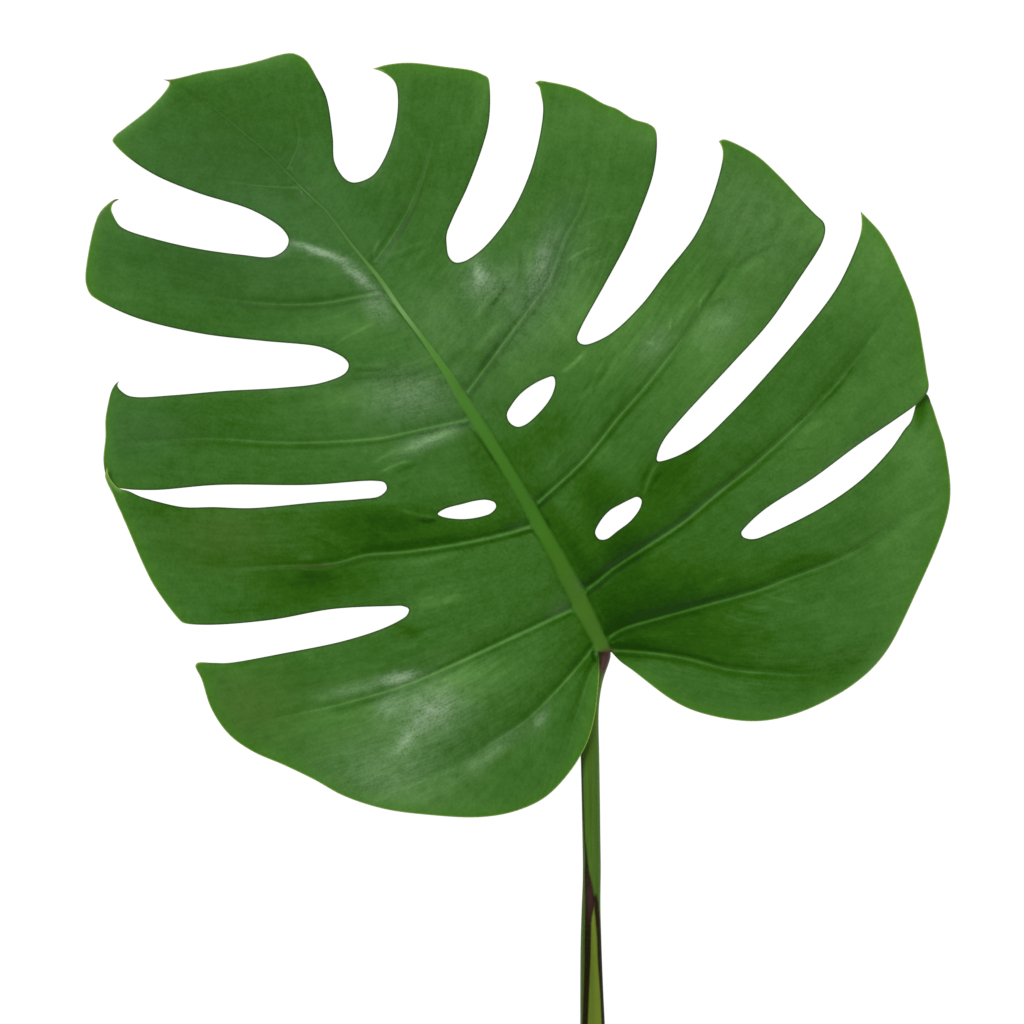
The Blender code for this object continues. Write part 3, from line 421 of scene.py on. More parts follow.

# Soft ovals by plan centre, long reach, short reach, turn in degrees, and strength. First the painted shade
# and painted light on the green, in green steps: painted shade in deep folds beside the lower right veins,
# painted light on crests further out
SHADE_AND_LIGHT_PATCHES = [
    # Tip lobe
    (-190, 262, 42, 38, 0, -14), (-152, 230, 15, 9, -40, -6), (-160, 210, 14, 4, -20, -7),
    # Near the first left vein
    (-140, 162, 26, 5, 5, 9), (-203, 196, 50, 16, -6, -14), (-192, 168, 46, 9, 3, -8),
    (-122, 167, 20, 13, 0, 9), (-137, 191, 10, 5, -20, 9), (-132, 142, 7, 4, 0, -9),
    (-90, 178, 12, 8, -30, 7),
    # Near the second left vein
    (-110, 143, 18, 5, 0, -6), (-130, 124, 26, 5, 3, 6), (-82, 110, 14, 5, 10, 8),
    (-188, 125, 36, 8, 3, -7), (-250.5, 83, 4.5, 2.5, -60, -12), (-117, 108, 18, 10, 0, 10),
    (-192, 110, 34, 12, 0, -5), (-132, 129, 12, 5, 5, 9), (-118, 131, 16, 5, 5, 9),
    # Near the third left vein
    (-113, 65, 27, 9, 5, -24), (-146, 37, 27, 8, 5, -28), (-22, 62, 24, 6, 120, -20),
    (-85, 28, 13, 6, 15, 12), (-137, 70, 60, 6, 0, -7), (-162, 24, 26, 5, 5, -10), (-218, 74, 26, 8, 0, -9),
    (-180, 54, 42, 11, 0, -4),
    # Lower left lobe
    (-97, -63, 36, 18, -10, 14), (-82, -30, 28, 22, 45, 10), (-56, -11, 18, 9, 20, 8),
    (-125, -24, 28, 12, 15, 16), (-77, -45, 26, 8, 30, -9), (-8, -5, 6, 4, 0, -12),
    (-122, -40, 26, 14, 0, 8), (-67, -12, 24, 9, 20, 9), (-75, -75, 26, 8, -5, 5),
    (-177, -25, 22, 14, 0, 5), (-112, -72, 12, 4, -5, 10), (-80, -13, 14, 5, 25, 8),
    (-42, -37, 14, 3, 38, -8),
    # Near the first right vein
    (-60, 277, 18, 6, 80, 12), (-118, 227, 9, 7, 0, -12), (-105, 215, 9, 8, 0, -5), (-59, 286, 6, 6, 0, 12),
    # Near the second right vein
    (-34, 182, 45, 22, 60, 14), (-8, 265, 30, 20, 0, 12), (-82, 167, 15, 14, 0, 4),
    (-31, 184, 26, 8, 62, -18), (16, 262, 14, 10, 0, 9), (-14, 166, 20, 15, 0, 11),
    (-42, 141, 12, 10, 50, 9), (-2, 171, 9, 6, 50, 8), (25, 259, 6, 7, 0, 12), (-6, 175, 14, 8, 50, 8),
    (-45, 184, 10, 5, 62, -9),
    # Near the third right vein
    (72, 220, 38, 30, -45, 10), (44, 163, 38, 22, 50, 20), (0, 72, 26, 13, 120, -26),
    (-45, 100, 20, 7, 120, -8), (-58, 90, 26, 7, 120, -14), (7, 158, 25, 14, 40, 10),
    (-32, 108, 15, 10, 50, -12), (100, 222, 22, 12, -45, 10), (57, 141, 42, 10, 48, 14),
    (-8, 98, 12, 10, 30, 12), (109, 213, 6, 7, 0, 14),
    # Near the fourth right vein
    (6, 47, 15, 8, 35, -10), (135, 172, 42, 22, 110, 13), (32, 90, 22, 11, 45, -18),
    (110, 115, 42, 14, 42, 12), (140, 205, 24, 13, 115, 20), (-12, 50, 12, 6, 120, -7),
    (0, 24, 10, 6, 120, -9), (86, 118, 14, 10, 42, 9), (161, 136, 5, 8, 0, 10), (8, 34, 10, 5, 35, -7),
    # Lower right lobe
    (20, 26, 40, 20, 20, -26), (50, 12, 30, 10, 0, -10), (150, 67, 45, 18, 80, 15), (12, 8, 10, 7, 0, -10),
    (112, -5, 36, 12, 25, -9), (160.6, 118.6, 7.5, 3, 62, -42), (160, 104, 28, 14, 100, 13),
    (122, 91, 24, 12, 40, 8), (123, 52, 16, 8, 30, 9), (124, 8, 20, 10, 30, 7), (72, 8, 22, 9, 0, -7),
    (105, 48, 16, 4, 10, -7),
]
# Painted sheen, grey-white highlights of the glossy skin: crisp streaks near the first and fourth left veins
# and the second right one, and soft clouds elsewhere
PAINTED_SHEEN_PATCHES = [
    (-142, 201, 14, 1.6, -19, 1.2), (-122.5, 188.5, 11, 2.5, -40, 0.8), (-113.5, 173, 8, 5, -50, 0.4),
    (-62.5, 190, 7, 3, -80, 0.8), (-60, 185, 13, 10, 0, 0.3), (-32.5, 195, 13, 4, 75, 0.4),
    (-87.5, 107.5, 15, 3.5, 22, 0.5), (-97.5, 130, 22, 12, 0, 0.35), (-82, 167, 18, 15, 0, 0.1),
    (-103.5, -11.5, 9, 2.6, 12, 1), (-127.5, -17.5, 14, 3, 12, 0.35), (-86.5, -26.5, 13, 9, 25, 0.62),
    (-99, -42.5, 9, 3.5, 55, 0.6), (-92.5, -37.5, 34, 22, 35, 0.18), (-107.5, -25, 8, 5, 30, 0.4),
    (-112, -60, 30, 14, -10, 0.18), (-55, -47.5, 22, 4, 38, 0.2), (-32.5, -32.5, 7, 3, 65, 0.28),
    (25, 156, 11, 6, 45, 0.26), (57.5, 166, 14, 8, 45, 0.24), (72, 218, 34, 22, -45, 0.12),
    (-34, 182, 40, 20, 60, 0.2),
]
# Olive tints, and greyish ones below nought, then brown at the knee, on lobe tips and along a vein, and last
# where the lanes and the painted light and shade of wrinkles show more, or less
OLIVE_PATCHES = [(-190, 60, 28, 16, 0, 0.45), (-25, 205, 22, 6, 75, -0.5), (-235, 112, 30, 18, 0, -0.4),
                 (-185, 220, 95, 55, -15, -0.5), (-100, 120, 50, 35, 0, -0.15), (-177, -25, 22, 16, 0, 0.5)]
BROWN_PATCHES = [(1, 2, 3, 1.6, 12, 1), (-219.5, 288.3, 4, 1.3, 10, 1), (-146.5, 44.6, 13, 0.6, 2, 0.6),
                 (-245.5, 228, 2.5, 1.5, 0, 0.8), (-251.5, 220, 6, 2, 75, 0.25)]
WRINKLE_PATCHES = [
    (-190, 262, 50, 42, 0, -0.22), (-85, 196, 25, 18, 50, 0.45), (0, 185, 28, 16, 60, 0.45),
    (-118, 195, 15, 12, 0, 0.4), (-90, 140, 26, 15, 0, 0.5), (25, 165, 45, 13, 52, 0.55),
    (82, 212, 24, 15, 0, 0.3), (-80, -25, 40, 22, 30, 0.6), (-112, -60, 30, 14, -10, 0.4),
    (-82, 25, 22, 13, 10, 0.35), (90, 38, 35, 13, 20, 0.25), (72, -8, 35, 11, 0, 0.2),
    (-40, 40, 28, 20, 0, -0.2), (15, 65, 28, 20, 40, -0.15), (-160, 55, 40, 16, 0, 0.15),
]

# How much is worked out at once, and at how many places along the midrib
PAIRS_AT_ONCE = 400_000
PARTS = 20
MIDRIB_STATIONS = 90


def in_metres(points):
    """Plan points, given in millimetres, as an array in metres."""
    return np.array(points, dtype=float) * MM


def curve_span(before, start, end, after, shares):
    """Points on the smooth span from start to end, at shares of its length, bent towards its neighbours."""
    knots = [0.0]
    for a, b in ((before, start), (start, end), (end, after)):
        knots.append(knots[-1] + max(np.linalg.norm(b - a), 1e-9) ** 0.5)
    t0, t1, t2, t3 = knots
    t = (t1 + (t2 - t1) * shares)[:, None]
    a1 = (t1 - t) / (t1 - t0) * before + (t - t0) / (t1 - t0) * start
    a2 = (t2 - t) / (t2 - t1) * start + (t - t1) / (t2 - t1) * end
    a3 = (t3 - t) / (t3 - t2) * end + (t - t2) / (t3 - t2) * after
    b1 = (t2 - t) / (t2 - t0) * a1 + (t - t0) / (t2 - t0) * a2
    b2 = (t3 - t) / (t3 - t1) * a2 + (t - t1) / (t3 - t1) * a3
    return (t2 - t) / (t2 - t1) * b1 + (t - t1) / (t2 - t1) * b2


def smooth_line(points, step, closed=False):
    """A smooth line through plan points, cut so that no piece is longer than step."""
    points = in_metres(points)
    if closed:
        padded = np.vstack([points[-1], points, points[0], points[1]])
    else:
        padded = np.vstack([2 * points[0] - points[1], points, 2 * points[-1] - points[-2]])
    line = []
    for i in range(1, len(padded) - 2):
        pieces = max(1, math.ceil(np.linalg.norm(padded[i + 1] - padded[i]) / step))
        line.append(curve_span(*padded[i - 1:i + 3], np.arange(pieces) / pieces))
    if not closed:
        line.append(padded[-2:-1])
    return np.vstack(line)


def line_length(line):
    """Length of a line."""
    return np.linalg.norm(np.diff(line, axis=0), axis=1).sum()


def nearest_on_line(points, line):
    """For each point: distance to the line, distance along it there, and side (1 left, -1 right)."""
    starts = line[:-1]
    runs = line[1:] - starts
    lengths = np.linalg.norm(runs, axis=1)
    travelled = np.concatenate([[0], np.cumsum(lengths)])
    found = []
    for part in np.array_split(points, max(1, len(points) * len(line) // PAIRS_AT_ONCE)):
        away = part[:, None, :] - starts[None, :, :]
        share = np.clip((away * runs).sum(axis=2) / lengths ** 2, 0, 1)
        gap = np.linalg.norm(away - share[..., None] * runs, axis=2)
        best = gap.argmin(axis=1)
        rows = np.arange(len(part))
        along = travelled[best] + share[rows, best] * lengths[best]
        turn = runs[best, 0] * away[rows, best, 1] - runs[best, 1] * away[rows, best, 0]
        found.append((gap[rows, best], along, np.where(turn >= 0, 1, -1)))
    return tuple(np.concatenate(column) for column in zip(*found))


def nearest_point(points, targets):
    """For each point: distance to the nearest of the target points, and which one that is."""
    tree = KDTree(len(targets))
    for i, target in enumerate(targets):
        tree.insert((target[0], target[1], 0), i)
    tree.balance()
    found = [tree.find((point[0], point[1], 0)) for point in points]
    return np.array([gap for _, _, gap in found]), np.array([i for _, i, _ in found])


def inside(points, loop):
    """Which points lie inside a closed loop."""
    found = np.zeros(len(points), dtype=bool)
    x, y = points[:, 0], points[:, 1]
    for (ax, ay), (bx, by) in zip(loop, np.roll(loop, -1, axis=0)):
        spans = (ay > y) != (by > y)
        crossing = (bx - ax) * (y - ay) / (by - ay if by != ay else 1e-12) + ax
        found ^= spans & (x < crossing)
    return found


def fade(distance, reach):
    """1 at no distance, falling smoothly to 0 at reach."""
    return np.clip(1 - (distance / reach) ** 2, 0, 1) ** 2


OUTLINE = np.vstack([smooth_line(edge, MARGIN_STEP)[:-1] for edge in BLADE_EDGES])
HOLE_LOOPS = [smooth_line(hole, MARGIN_STEP, closed=True) for hole in HOLES]
MARGIN_POINTS = np.vstack([smooth_line(edge, MARGIN_READING_STEP) for edge in BLADE_EDGES]
                          + [smooth_line(hole, MARGIN_READING_STEP, closed=True) for hole in HOLES])
MIDRIB_LINE = smooth_line(MIDRIB, VEIN_STEP)
MIDRIB_LENGTH = line_length(MIDRIB_LINE)
VEIN_LINES = [smooth_line(vein, VEIN_STEP) for vein in LEFT_VEINS + RIGHT_VEINS]
FOLD_LINES = [smooth_line(line, FOLD_STEP) for _, _, line in FOLD_LIGHT_AND_SHADE]


def run_on(line):
    """A vein's line, carried straight on past its end."""
    ahead = line[-1] - line[-2]
    return np.vstack([line, line[-1] + ahead / np.linalg.norm(ahead) * VEIN_RUN_ON])


def midrib_half_width(station):
    """Half width of the midrib at shares of its length."""
    shares, widths = zip(*MIDRIB_HALF_WIDTHS)
    return np.interp(station, shares, widths) * MM


def vein_half_width(station):
    """Half width of a side vein at shares of its length."""
    return VEIN_ROOT_WIDTH + (VEIN_END_WIDTH - VEIN_ROOT_WIDTH) * np.clip(station, 0, 1)


def share_along_midrib(points, gap):
    """Share of the midrib's length that a point lies beside, blended where several stretches are as near."""
    step = max(1, len(MIDRIB_LINE) // MIDRIB_STATIONS)
    stations = MIDRIB_LINE[::step]
    shares = np.linspace(0, 1, len(MIDRIB_LINE))[::step]
    found = []
    for part, least in zip(np.array_split(points, PARTS), np.array_split(gap, PARTS)):
        away = np.linalg.norm(part[:, None, :] - stations[None, :, :], axis=2)
        weight = np.exp(-(away - least[:, None]) / MIDRIB_BLEND)
        found.append((weight * shares).sum(axis=1) / weight.sum(axis=1))
    return np.concatenate(found)


def between_veins(here):
    """Place between the side veins, from the tip down: 2.5 is halfway from vein 2 to vein 3."""
    place = np.zeros(len(here.side))
    left = len(LEFT_VEINS)
    for side, first, count in ((1, 0, left), (-1, left, len(RIGHT_VEINS))):
        rows = np.flatnonzero(here.side == side)
        gaps = here.vein_gap[first:first + count, rows]
        nearest = gaps.argmin(axis=0)
        columns = np.arange(len(rows))
        own = gaps[nearest, columns]
        other = nearest + here.vein_side[first + nearest, rows] * side
        known = (other >= 0) & (other < count)
        other_gap = np.where(known, gaps[np.clip(other, 0, count - 1), columns], OPEN_SIDE_GAP)
        place[rows] = (nearest * other_gap + other * own) / (own + other_gap)
    return place


def folding(points):
    """How many green steps of painted light or painted shade the folds and creases give each point."""
    light = np.zeros(len(points))
    for (strength, half_width, _), line in zip(FOLD_LIGHT_AND_SHADE, FOLD_LINES):
        gap, along, _ = nearest_on_line(points, line)
        from_end = np.minimum(along, line_length(line) - along) / line_length(line)
        shown = np.clip((from_end + FOLD_BLUNTNESS) / FOLD_ENDS, 0, 1)
        light += strength * np.exp(-(gap / (half_width * MM)) ** 2) * shown
    return light


def read_leaf(points):
    """Where plan points lie on the leaf: beside the midrib, side veins and folds, and in from the margin."""
    here = SimpleNamespace(plan=points)
    here.mid_gap, along, here.side = nearest_on_line(points, MIDRIB_LINE)
    here.mid_half = midrib_half_width(along / MIDRIB_LENGTH)
    here.mid_share = share_along_midrib(points, here.mid_gap)
    readings = []
    for line in VEIN_LINES:
        gap, along, side = nearest_on_line(points, run_on(line))
        readings.append((gap, along / line_length(line), side))
    here.vein_gap, here.vein_share, here.vein_side = (np.array(rows) for rows in zip(*readings))
    here.folding = folding(points)
    here.margin = nearest_point(points, MARGIN_POINTS)[0]
    here.place = between_veins(here)
    return here


def sheet_height(here):
    """Height of the middle of the sheet over the table."""
    crest = KNEE_HEIGHT + (TIP_HEIGHT - KNEE_HEIGHT) * here.mid_share
    crest += 4 * MIDRIB_ARCH * here.mid_share * (1 - here.mid_share)
    outward = here.mid_gap / np.where(here.side > 0, REACH_LEFT, REACH_RIGHT)
    height = crest * (1 - np.clip(outward, 0, FARTHEST_DROOP) ** DROOP_POWER)
    waves = sum(np.sin(math.tau * here.plan[:, i] / length) for i, length in enumerate(WAVE_LENGTHS))
    height += WAVE_HEIGHT * np.clip(outward, 0, 1) * waves / 2
    beside = np.clip(here.mid_gap - here.mid_half, 0, None)
    height -= MIDRIB_VALLEY * np.exp(-(beside / MIDRIB_VALLEY_WIDTH) ** 2) * (1 - here.mid_share)
    for vein in range(len(VEIN_LINES)):
        if vein != STALK_CROSSING_VEIN:
            height -= vein_valley(here.vein_gap[vein], here.vein_share[vein])
    height -= LIP_DROOP * np.exp(-here.margin / LIP_WIDTH)
    cover = nearest_on_line(here.plan, in_metres([(x, y) for y, x, *_ in STALK_STATIONS[:7]]))[0]
    height += (BLADE_OVER_STALK - height) * np.exp(-(cover / STALK_COVER_WIDTH) ** 2)
    return overlap_heights(here.plan, np.maximum(height, SHEET_THICKNESS / 2))


def ending(share, start, length):
    """1 along a vein as far as start, then falling smoothly to 0 over a length, both in shares of it."""
    return fade(np.clip(share - start, 0, None), length)


def vein_valley(gap, share):
    """Depth of the valley that a side vein lies in: round, with a crease along the vein."""
    depth = VEIN_VALLEY * (1 - VEIN_VALLEY_FADE * np.clip(share, 0, 1)) * ending(share, *VALLEY_ENDING)
    round_part = np.exp(-(gap / VEIN_VALLEY_WIDTH) ** 2)
    crease = np.exp(-gap / CREASE_WIDTH)
    return depth * ((1 - CREASE_SHARE) * round_part + 2 * CREASE_SHARE * crease)


def overlap_heights(points, height):
    """Lifts the two corners that lie on top and presses the two that lie underneath onto the table."""
    left_3 = inside(points, in_metres(LEFT_3_AREA))
    right_5 = inside(points, in_metres(RIGHT_5_AREA))
    near_left = fade(np.linalg.norm(points - in_metres(LEFT_3_HOOK), axis=1), HOOK_REACH)
    near_right = fade(np.linalg.norm(points - in_metres(RIGHT_5_HOOK), axis=1), HOOK_REACH)
    pressed = np.where(left_3, 0, near_left) + np.where(right_5, near_right, 0)
    lifted = np.where(left_3, near_left, 0) + np.where(right_5, 0, near_right)
    floor = SHEET_THICKNESS / 2
    return floor + (height - floor) * (1 - pressed) + HOOK_LIFT * lifted


def moved_plan(points):
    """Plan points after the two hooked corners are slid over or under their neighbours."""
    moved = points.copy()
    for area, hook, shift in ((LEFT_3_AREA, LEFT_3_HOOK, LEFT_3_SHIFT),
                              (RIGHT_5_AREA, RIGHT_5_HOOK, RIGHT_5_SHIFT)):
        weight = fade(np.linalg.norm(points - in_metres(hook), axis=1), HOOK_REACH)
        weight = np.where(inside(points, in_metres(area)), weight, 0)
        moved += weight[:, None] * in_metres(shift)
    return moved


def relief_above(here):
    """Fine relief of the upper face: midrib crown and grooves, vein ridges, quilting and folds."""
    crown = MIDRIB_CROWN * np.sqrt(np.clip(1 - (here.mid_gap / here.mid_half) ** 2, 0, 1))
    groove = MIDRIB_GROOVE * np.exp(-((here.mid_gap - here.mid_half) / MIDRIB_GROOVE_WIDTH) ** 2)
    relief = crown - groove * np.clip(here.mid_half / FULL_GROOVE_HALF_WIDTH, 0, 1)
    for gap, share in zip(here.vein_gap, here.vein_share):
        half = vein_half_width(share)
        faded = ending(share, *RIDGE_ENDING) * (here.mid_gap > here.mid_half)
        relief += faded * VEIN_RIDGE * np.exp(-(gap / (RIDGE_HALF_WIDTHS * half)) ** 2)
        relief -= faded * VEIN_GROOVE * np.exp(-(gap / (GROOVE_HALF_WIDTHS * half)) ** 2)
    calm = np.clip((here.mid_gap - here.mid_half) / QUILT_FROM_MIDRIB, 0, 1)
    calm *= np.clip(here.margin / QUILT_FROM_MARGIN, 0, 1)
    relief += QUILT_HEIGHT * calm * np.cos(math.tau * QUILTS_BETWEEN_VEINS * here.place)
    return relief + FOLD_HEIGHT * here.folding


def relief_below(here):
    """How far the ribs stand below the sheet."""
    bow = np.sqrt(np.clip(1 - (here.mid_gap / here.mid_half) ** 2, 0, 1))
    below = MIDRIB_DEPTH_RATIO * here.mid_half * bow
    for vein in range(len(VEIN_LINES)):
        if vein != STALK_CROSSING_VEIN:
            half = vein_half_width(here.vein_share[vein])
            bow = np.clip(1 - (here.vein_gap[vein] / half) ** 2, 0, 1)
            faded = ending(here.vein_share[vein], *RIB_ENDING)
            below = np.maximum(below, VEIN_DEPTH_RATIO * half * bow * faded)
    return below


def side_lines(line, offsets):
    """Lines beside a line, at signed distances given for each of its points."""
    along = np.gradient(line, axis=0)
    along /= np.linalg.norm(along, axis=1)[:, None]
    across = np.column_stack([-along[:, 1], along[:, 0]])
    return [line + across * offset[:, None] for offset in offsets]


def both_sides(shares):
    """Shares with their negatives, nought first and only once."""
    return sorted({sign * share for share in shares for sign in (1, -1)}, key=abs)


def rib_points():
    """Plan points in rows along the midrib, the side veins and the folds."""
    half = midrib_half_width(np.linspace(0, 1, len(MIDRIB_LINE)))
    rows = [row[1:] for row in side_lines(MIDRIB_LINE, [share * half for share in both_sides(MIDRIB_ROWS)])]
    for vein in VEIN_LINES:
        half = vein_half_width(np.linspace(0, 1, len(vein)))
        for row in side_lines(vein, [share * half for share in both_sides(VEIN_ROWS)]):
            gap, along, _ = nearest_on_line(row, MIDRIB_LINE)
            rows.append(row[gap > VEINS_FROM_MIDRIB * midrib_half_width(along / MIDRIB_LENGTH)])
    for (_, half_width, _), line in zip(FOLD_LIGHT_AND_SHADE, FOLD_LINES):
        width = np.full(len(line), half_width * MM)
        for row in side_lines(line, [share * width for share in both_sides(FOLD_ROWS)]):
            rows.append(row[nearest_point(row, np.vstack(VEIN_LINES))[0] > VEIN_ROOT_WIDTH])
    points = np.vstack(rows)
    points = points[inside(points, OUTLINE)]
    return points[nearest_point(points, MARGIN_POINTS)[0] > RIB_CLEARANCE]


def apart(points, least):
    """Points left after each one nearer than least to an earlier one is dropped."""
    cells = {}
    kept = []
    for point in points:
        column, row = int(point[0] // least), int(point[1] // least)
        near = [cells.get((column + i, row + j)) for i in (-1, 0, 1) for j in (-1, 0, 1)]
        if all(other is None or math.dist(point, other) >= least for other in near):
            cells[column, row] = point
            kept.append(point)
    return np.array(kept)


def field_points(ribs):
    """Plan points that fill the sheet between ribs and edges, on a grid of even triangles."""
    low, high = OUTLINE.min(axis=0), OUTLINE.max(axis=0)
    row_gap = SHEET_STEP * math.sqrt(3) / 2
    grid = []
    for row in range(int((high[1] - low[1]) / row_gap) + 1):
        start = low[0] + (row % 2) * SHEET_STEP / 2
        xs = np.arange(start, high[0], SHEET_STEP)
        grid.append(np.column_stack([xs, np.full(len(xs), low[1] + row * row_gap)]))
    grid = np.vstack(grid)
    keep = inside(grid, OUTLINE)
    for hole in HOLE_LOOPS:
        keep &= ~inside(grid, hole)
    grid = grid[keep]
    grid = grid[nearest_point(grid, MARGIN_POINTS)[0] > SHEET_FROM_MARGIN]
    return grid[nearest_point(grid, ribs)[0] > SHEET_FROM_RIBS]


def flat_triangles():
    """The flat sheet: plan points and the triangles between them."""
    ribs = apart(rib_points(), LEAST_STEP)
    points, edges = [], []
    for loop in [OUTLINE] + HOLE_LOOPS:
        first = len(points)
        points += [Vector(point) for point in loop]
        edges += [(first + i, first + (i + 1) % len(loop)) for i in range(len(loop))]
    points += [Vector(point) for point in np.vstack([ribs, field_points(ribs)])]
    on_edges = len(edges)
    plan, triangles = net_between(points, edges)

    # Triangles that span a narrow hook from edge to edge get a point in their middle
    spanning = plan[triangles[(triangles < on_edges).all(axis=1)]].mean(axis=1)
    spanning = spanning[nearest_point(spanning, MARGIN_POINTS)[0] > LEAST_STEP]
    return net_between(points + [Vector(point) for point in spanning], edges)


def net_between(points, edges):
    """Triangles between plan points, only those on the sheet."""
    corners, _, faces, *_ = delaunay_2d_cdt(points, edges, [], 0, WELD_DISTANCE)
    plan = np.array([tuple(corner) for corner in corners])
    triangles = np.array(faces)
    centres = plan[triangles].mean(axis=1)
    keep = inside(centres, OUTLINE)
    for hole in HOLE_LOOPS:
        keep &= ~inside(centres, hole)
    return plan, triangles[keep]


def edge_pairs(triangles):
    """Directed edges that belong to one triangle only."""
    starts = triangles.ravel()
    ends = np.roll(triangles, -1, axis=1).ravel()
    pairs = set(zip(starts.tolist(), ends.tolist()))
    return [pair for pair in pairs if (pair[1], pair[0]) not in pairs]


def patches(points, listed):
    """Sum of soft ovals, each with its plan centre, long and short reach, turn in degrees and strength."""
    total = np.zeros(len(points))
    for x, y, long_reach, short_reach, turned, strength in listed:
        dx, dy = points[:, 0] - x * MM, points[:, 1] - y * MM
        cosine, sine = math.cos(math.radians(turned)), math.sin(math.radians(turned))
        along = (dx * cosine + dy * sine) / (long_reach * MM)
        across = (dy * cosine - dx * sine) / (short_reach * MM)
        total += strength * np.exp(-along ** 2 - across ** 2)
    return total


def outer_margin(points):
    """1 near the leaf's outer margin, falling to 0 in the slits and holes."""
    corners = convex_hull_2d([Vector(point) for point in OUTLINE])
    hull = OUTLINE[corners + corners[:1]]
    gap = nearest_on_line(points, hull)[0]
    below_knee = np.clip(-points[:, 1] / KNEE_REACH, 0, 1)
    left, right = (fade(np.linalg.norm(points - in_metres(hook), axis=1), CROSSING_REACH)
                   for hook in (LEFT_3_HOOK, RIGHT_5_HOOK))
    crossed = np.maximum(np.where(inside(points, in_metres(LEFT_3_AREA)), 0, left), right)
    return np.maximum(np.clip((OUTER_END - gap) / OUTER_FADE, 0, 1), below_knee) * (1 - crossed)


def beside_veins(here):
    """Strength and half width of the nearest side vein's pale line, and the painted shade beside it."""
    line, half, shade = np.zeros((3, len(here.side)))
    nearest = here.vein_gap.argmin(axis=0)
    for vein, (strength, end, width, base_dip, tip_dip, base_side, tip_side) in enumerate(VEIN_LOOKS):
        rows = np.flatnonzero(nearest == vein)
        gap = here.vein_gap[vein, rows] / MM
        share = here.vein_share[vein, rows]
        toward_base = here.vein_side[vein, rows] * (1 if vein < len(LEFT_VEINS) else -1) > 0
        shown = 1 - np.clip(share / end, 0, 1) ** 2
        line[rows] = strength * shown
        half[rows] = width + (LINE_END_WIDTH - width) * np.clip(share, 0, 1)
        narrow = np.exp(-((gap - DIP_PLACE) / DIP_WIDTH) ** 2)
        broad = np.exp(-np.clip(gap - DIP_PLACE, 0, None) / SHADE_REACH) * np.clip(gap / DIP_PLACE, 0, 1)
        dip = np.where(toward_base, base_dip, tip_dip) * shown
        lost = SHADE_LOSS * np.clip(share, 0, SHADE_LOSS_END) ** SHADE_LOSS_POWER
        side = np.where(toward_base, base_side, tip_side) * (1 - lost)
        shade[rows] = -dip * narrow - side * broad
    return line, half, shade * np.interp(here.mid_gap / here.mid_half, SHADE_FROM_MIDRIB, (0, 1))


def green_tone(here, shade):
    """How light the green is, in steps from the leaf's middle green: painted shade and light of folds and
    valleys, and a lighter outer margin.
    """
    tone = patches(here.plan, SHADE_AND_LIGHT_PATCHES) + shade + here.folding
    edge = np.clip(1 - here.margin / (MARGIN_BAND * MM), 0, 1) * outer_margin(here.plan)
    return tone + MARGIN_LIGHT * edge


def leaf_attributes(here):
    """What the materials read at each plan point, in millimetres where it is a distance."""
    line, line_half, shade = beside_veins(here)
    nearest = here.vein_gap.argmin(axis=0)
    columns = np.arange(len(nearest))
    line_half = line_half + LINE_FLARE * np.exp(-(here.mid_gap - here.mid_half) / LINE_FLARE_LENGTH)
    across_vein = here.vein_gap[nearest, columns] / (line_half * MM)
    tint, brown = patches(here.plan, OLIVE_PATCHES), patches(here.plan, BROWN_PATCHES)
    wrinkled = np.clip(EVEN_WRINKLES + patches(here.plan, WRINKLE_PATCHES), 0, 1)
    rib_half = here.mid_half * np.interp(here.mid_share, *MIDRIB_TINT_NARROWING)
    # Painted shade along the midrib's edges, stronger on its right
    edge_shade = np.where(here.side > 0, MIDRIB_EDGE_SHADE_LEFT, MIDRIB_EDGE_SHADE_RIGHT)
    edge_shade = edge_shade * np.interp(here.mid_half / MM, *MIDRIB_EDGE_SHADE_BY_WIDTH)

    # The right side's places are moved on, so that its lanes differ from the left side's
    place = here.place + RIGHT_SIDE_PLACES * (here.side < 0)
    return {
        "flow": np.column_stack([place, here.mid_gap / MM, here.mid_share]),
        "side_vein": np.column_stack([across_vein, line, brown]),
        "midrib": np.column_stack([here.mid_gap / rib_half, edge_shade, here.mid_share]),
        "margin": np.column_stack([here.margin / MM, outer_margin(here.plan), wrinkled]),
        "tones": np.column_stack([green_tone(here, shade), patches(here.plan, PAINTED_SHEEN_PATCHES), tint]),
    }


def make_blade(knee, materials):
    """The blade, made another way than by hand: formulas over one fine net keep it true to its solid."""
    plan, triangles = flat_triangles()
    here = read_leaf(plan)
    height = sheet_height(here)
    thinning = (SHEET_THICKNESS - EDGE_THICKNESS) * np.exp(-here.margin / EDGE_TAPER)
    top = height + SHEET_THICKNESS / 2 - thinning + relief_above(here)
    under = np.maximum(height - SHEET_THICKNESS / 2 - relief_below(here), 0)
    moved = moved_plan(plan) + knee
    count = len(plan)
    rim = edge_pairs(triangles)
    vertices = np.vstack([np.column_stack([moved, top]), np.column_stack([moved, under])])
    lowest, highest = (np.array(corner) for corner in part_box("blade"))
    vertices = np.clip(vertices, lowest, highest)
    sides = [(b, a, a + count, b + count) for a, b in rim]
    faces = triangles.tolist() + (triangles[:, ::-1] + count).tolist() + sides
    mesh = bpy.data.meshes.new("monstera_blade")
    mesh.from_pydata(vertices.tolist(), [], faces)
    slots = np.repeat([0, 1, 2], [len(triangles), len(triangles), len(sides)])
    mesh.polygons.foreach_set("material_index", slots)
    for material in materials:
        mesh.materials.append(material)
    for name, values in leaf_attributes(here).items():
        attribute = mesh.attributes.new(name, "FLOAT_VECTOR", "POINT")
        attribute.data.foreach_set("vector", np.vstack([values, values]).ravel())
    mesh.shade_smooth()
    mesh.set_sharp_from_angle(angle=BLADE_SHARP_ANGLE)
    blade = bpy.data.objects.new("monstera_blade", mesh)
    bpy.context.collection.objects.link(blade)
    print("blade:", count, "plan points,", 2 * len(triangles) + 2 * len(sides), "triangles")
    return blade


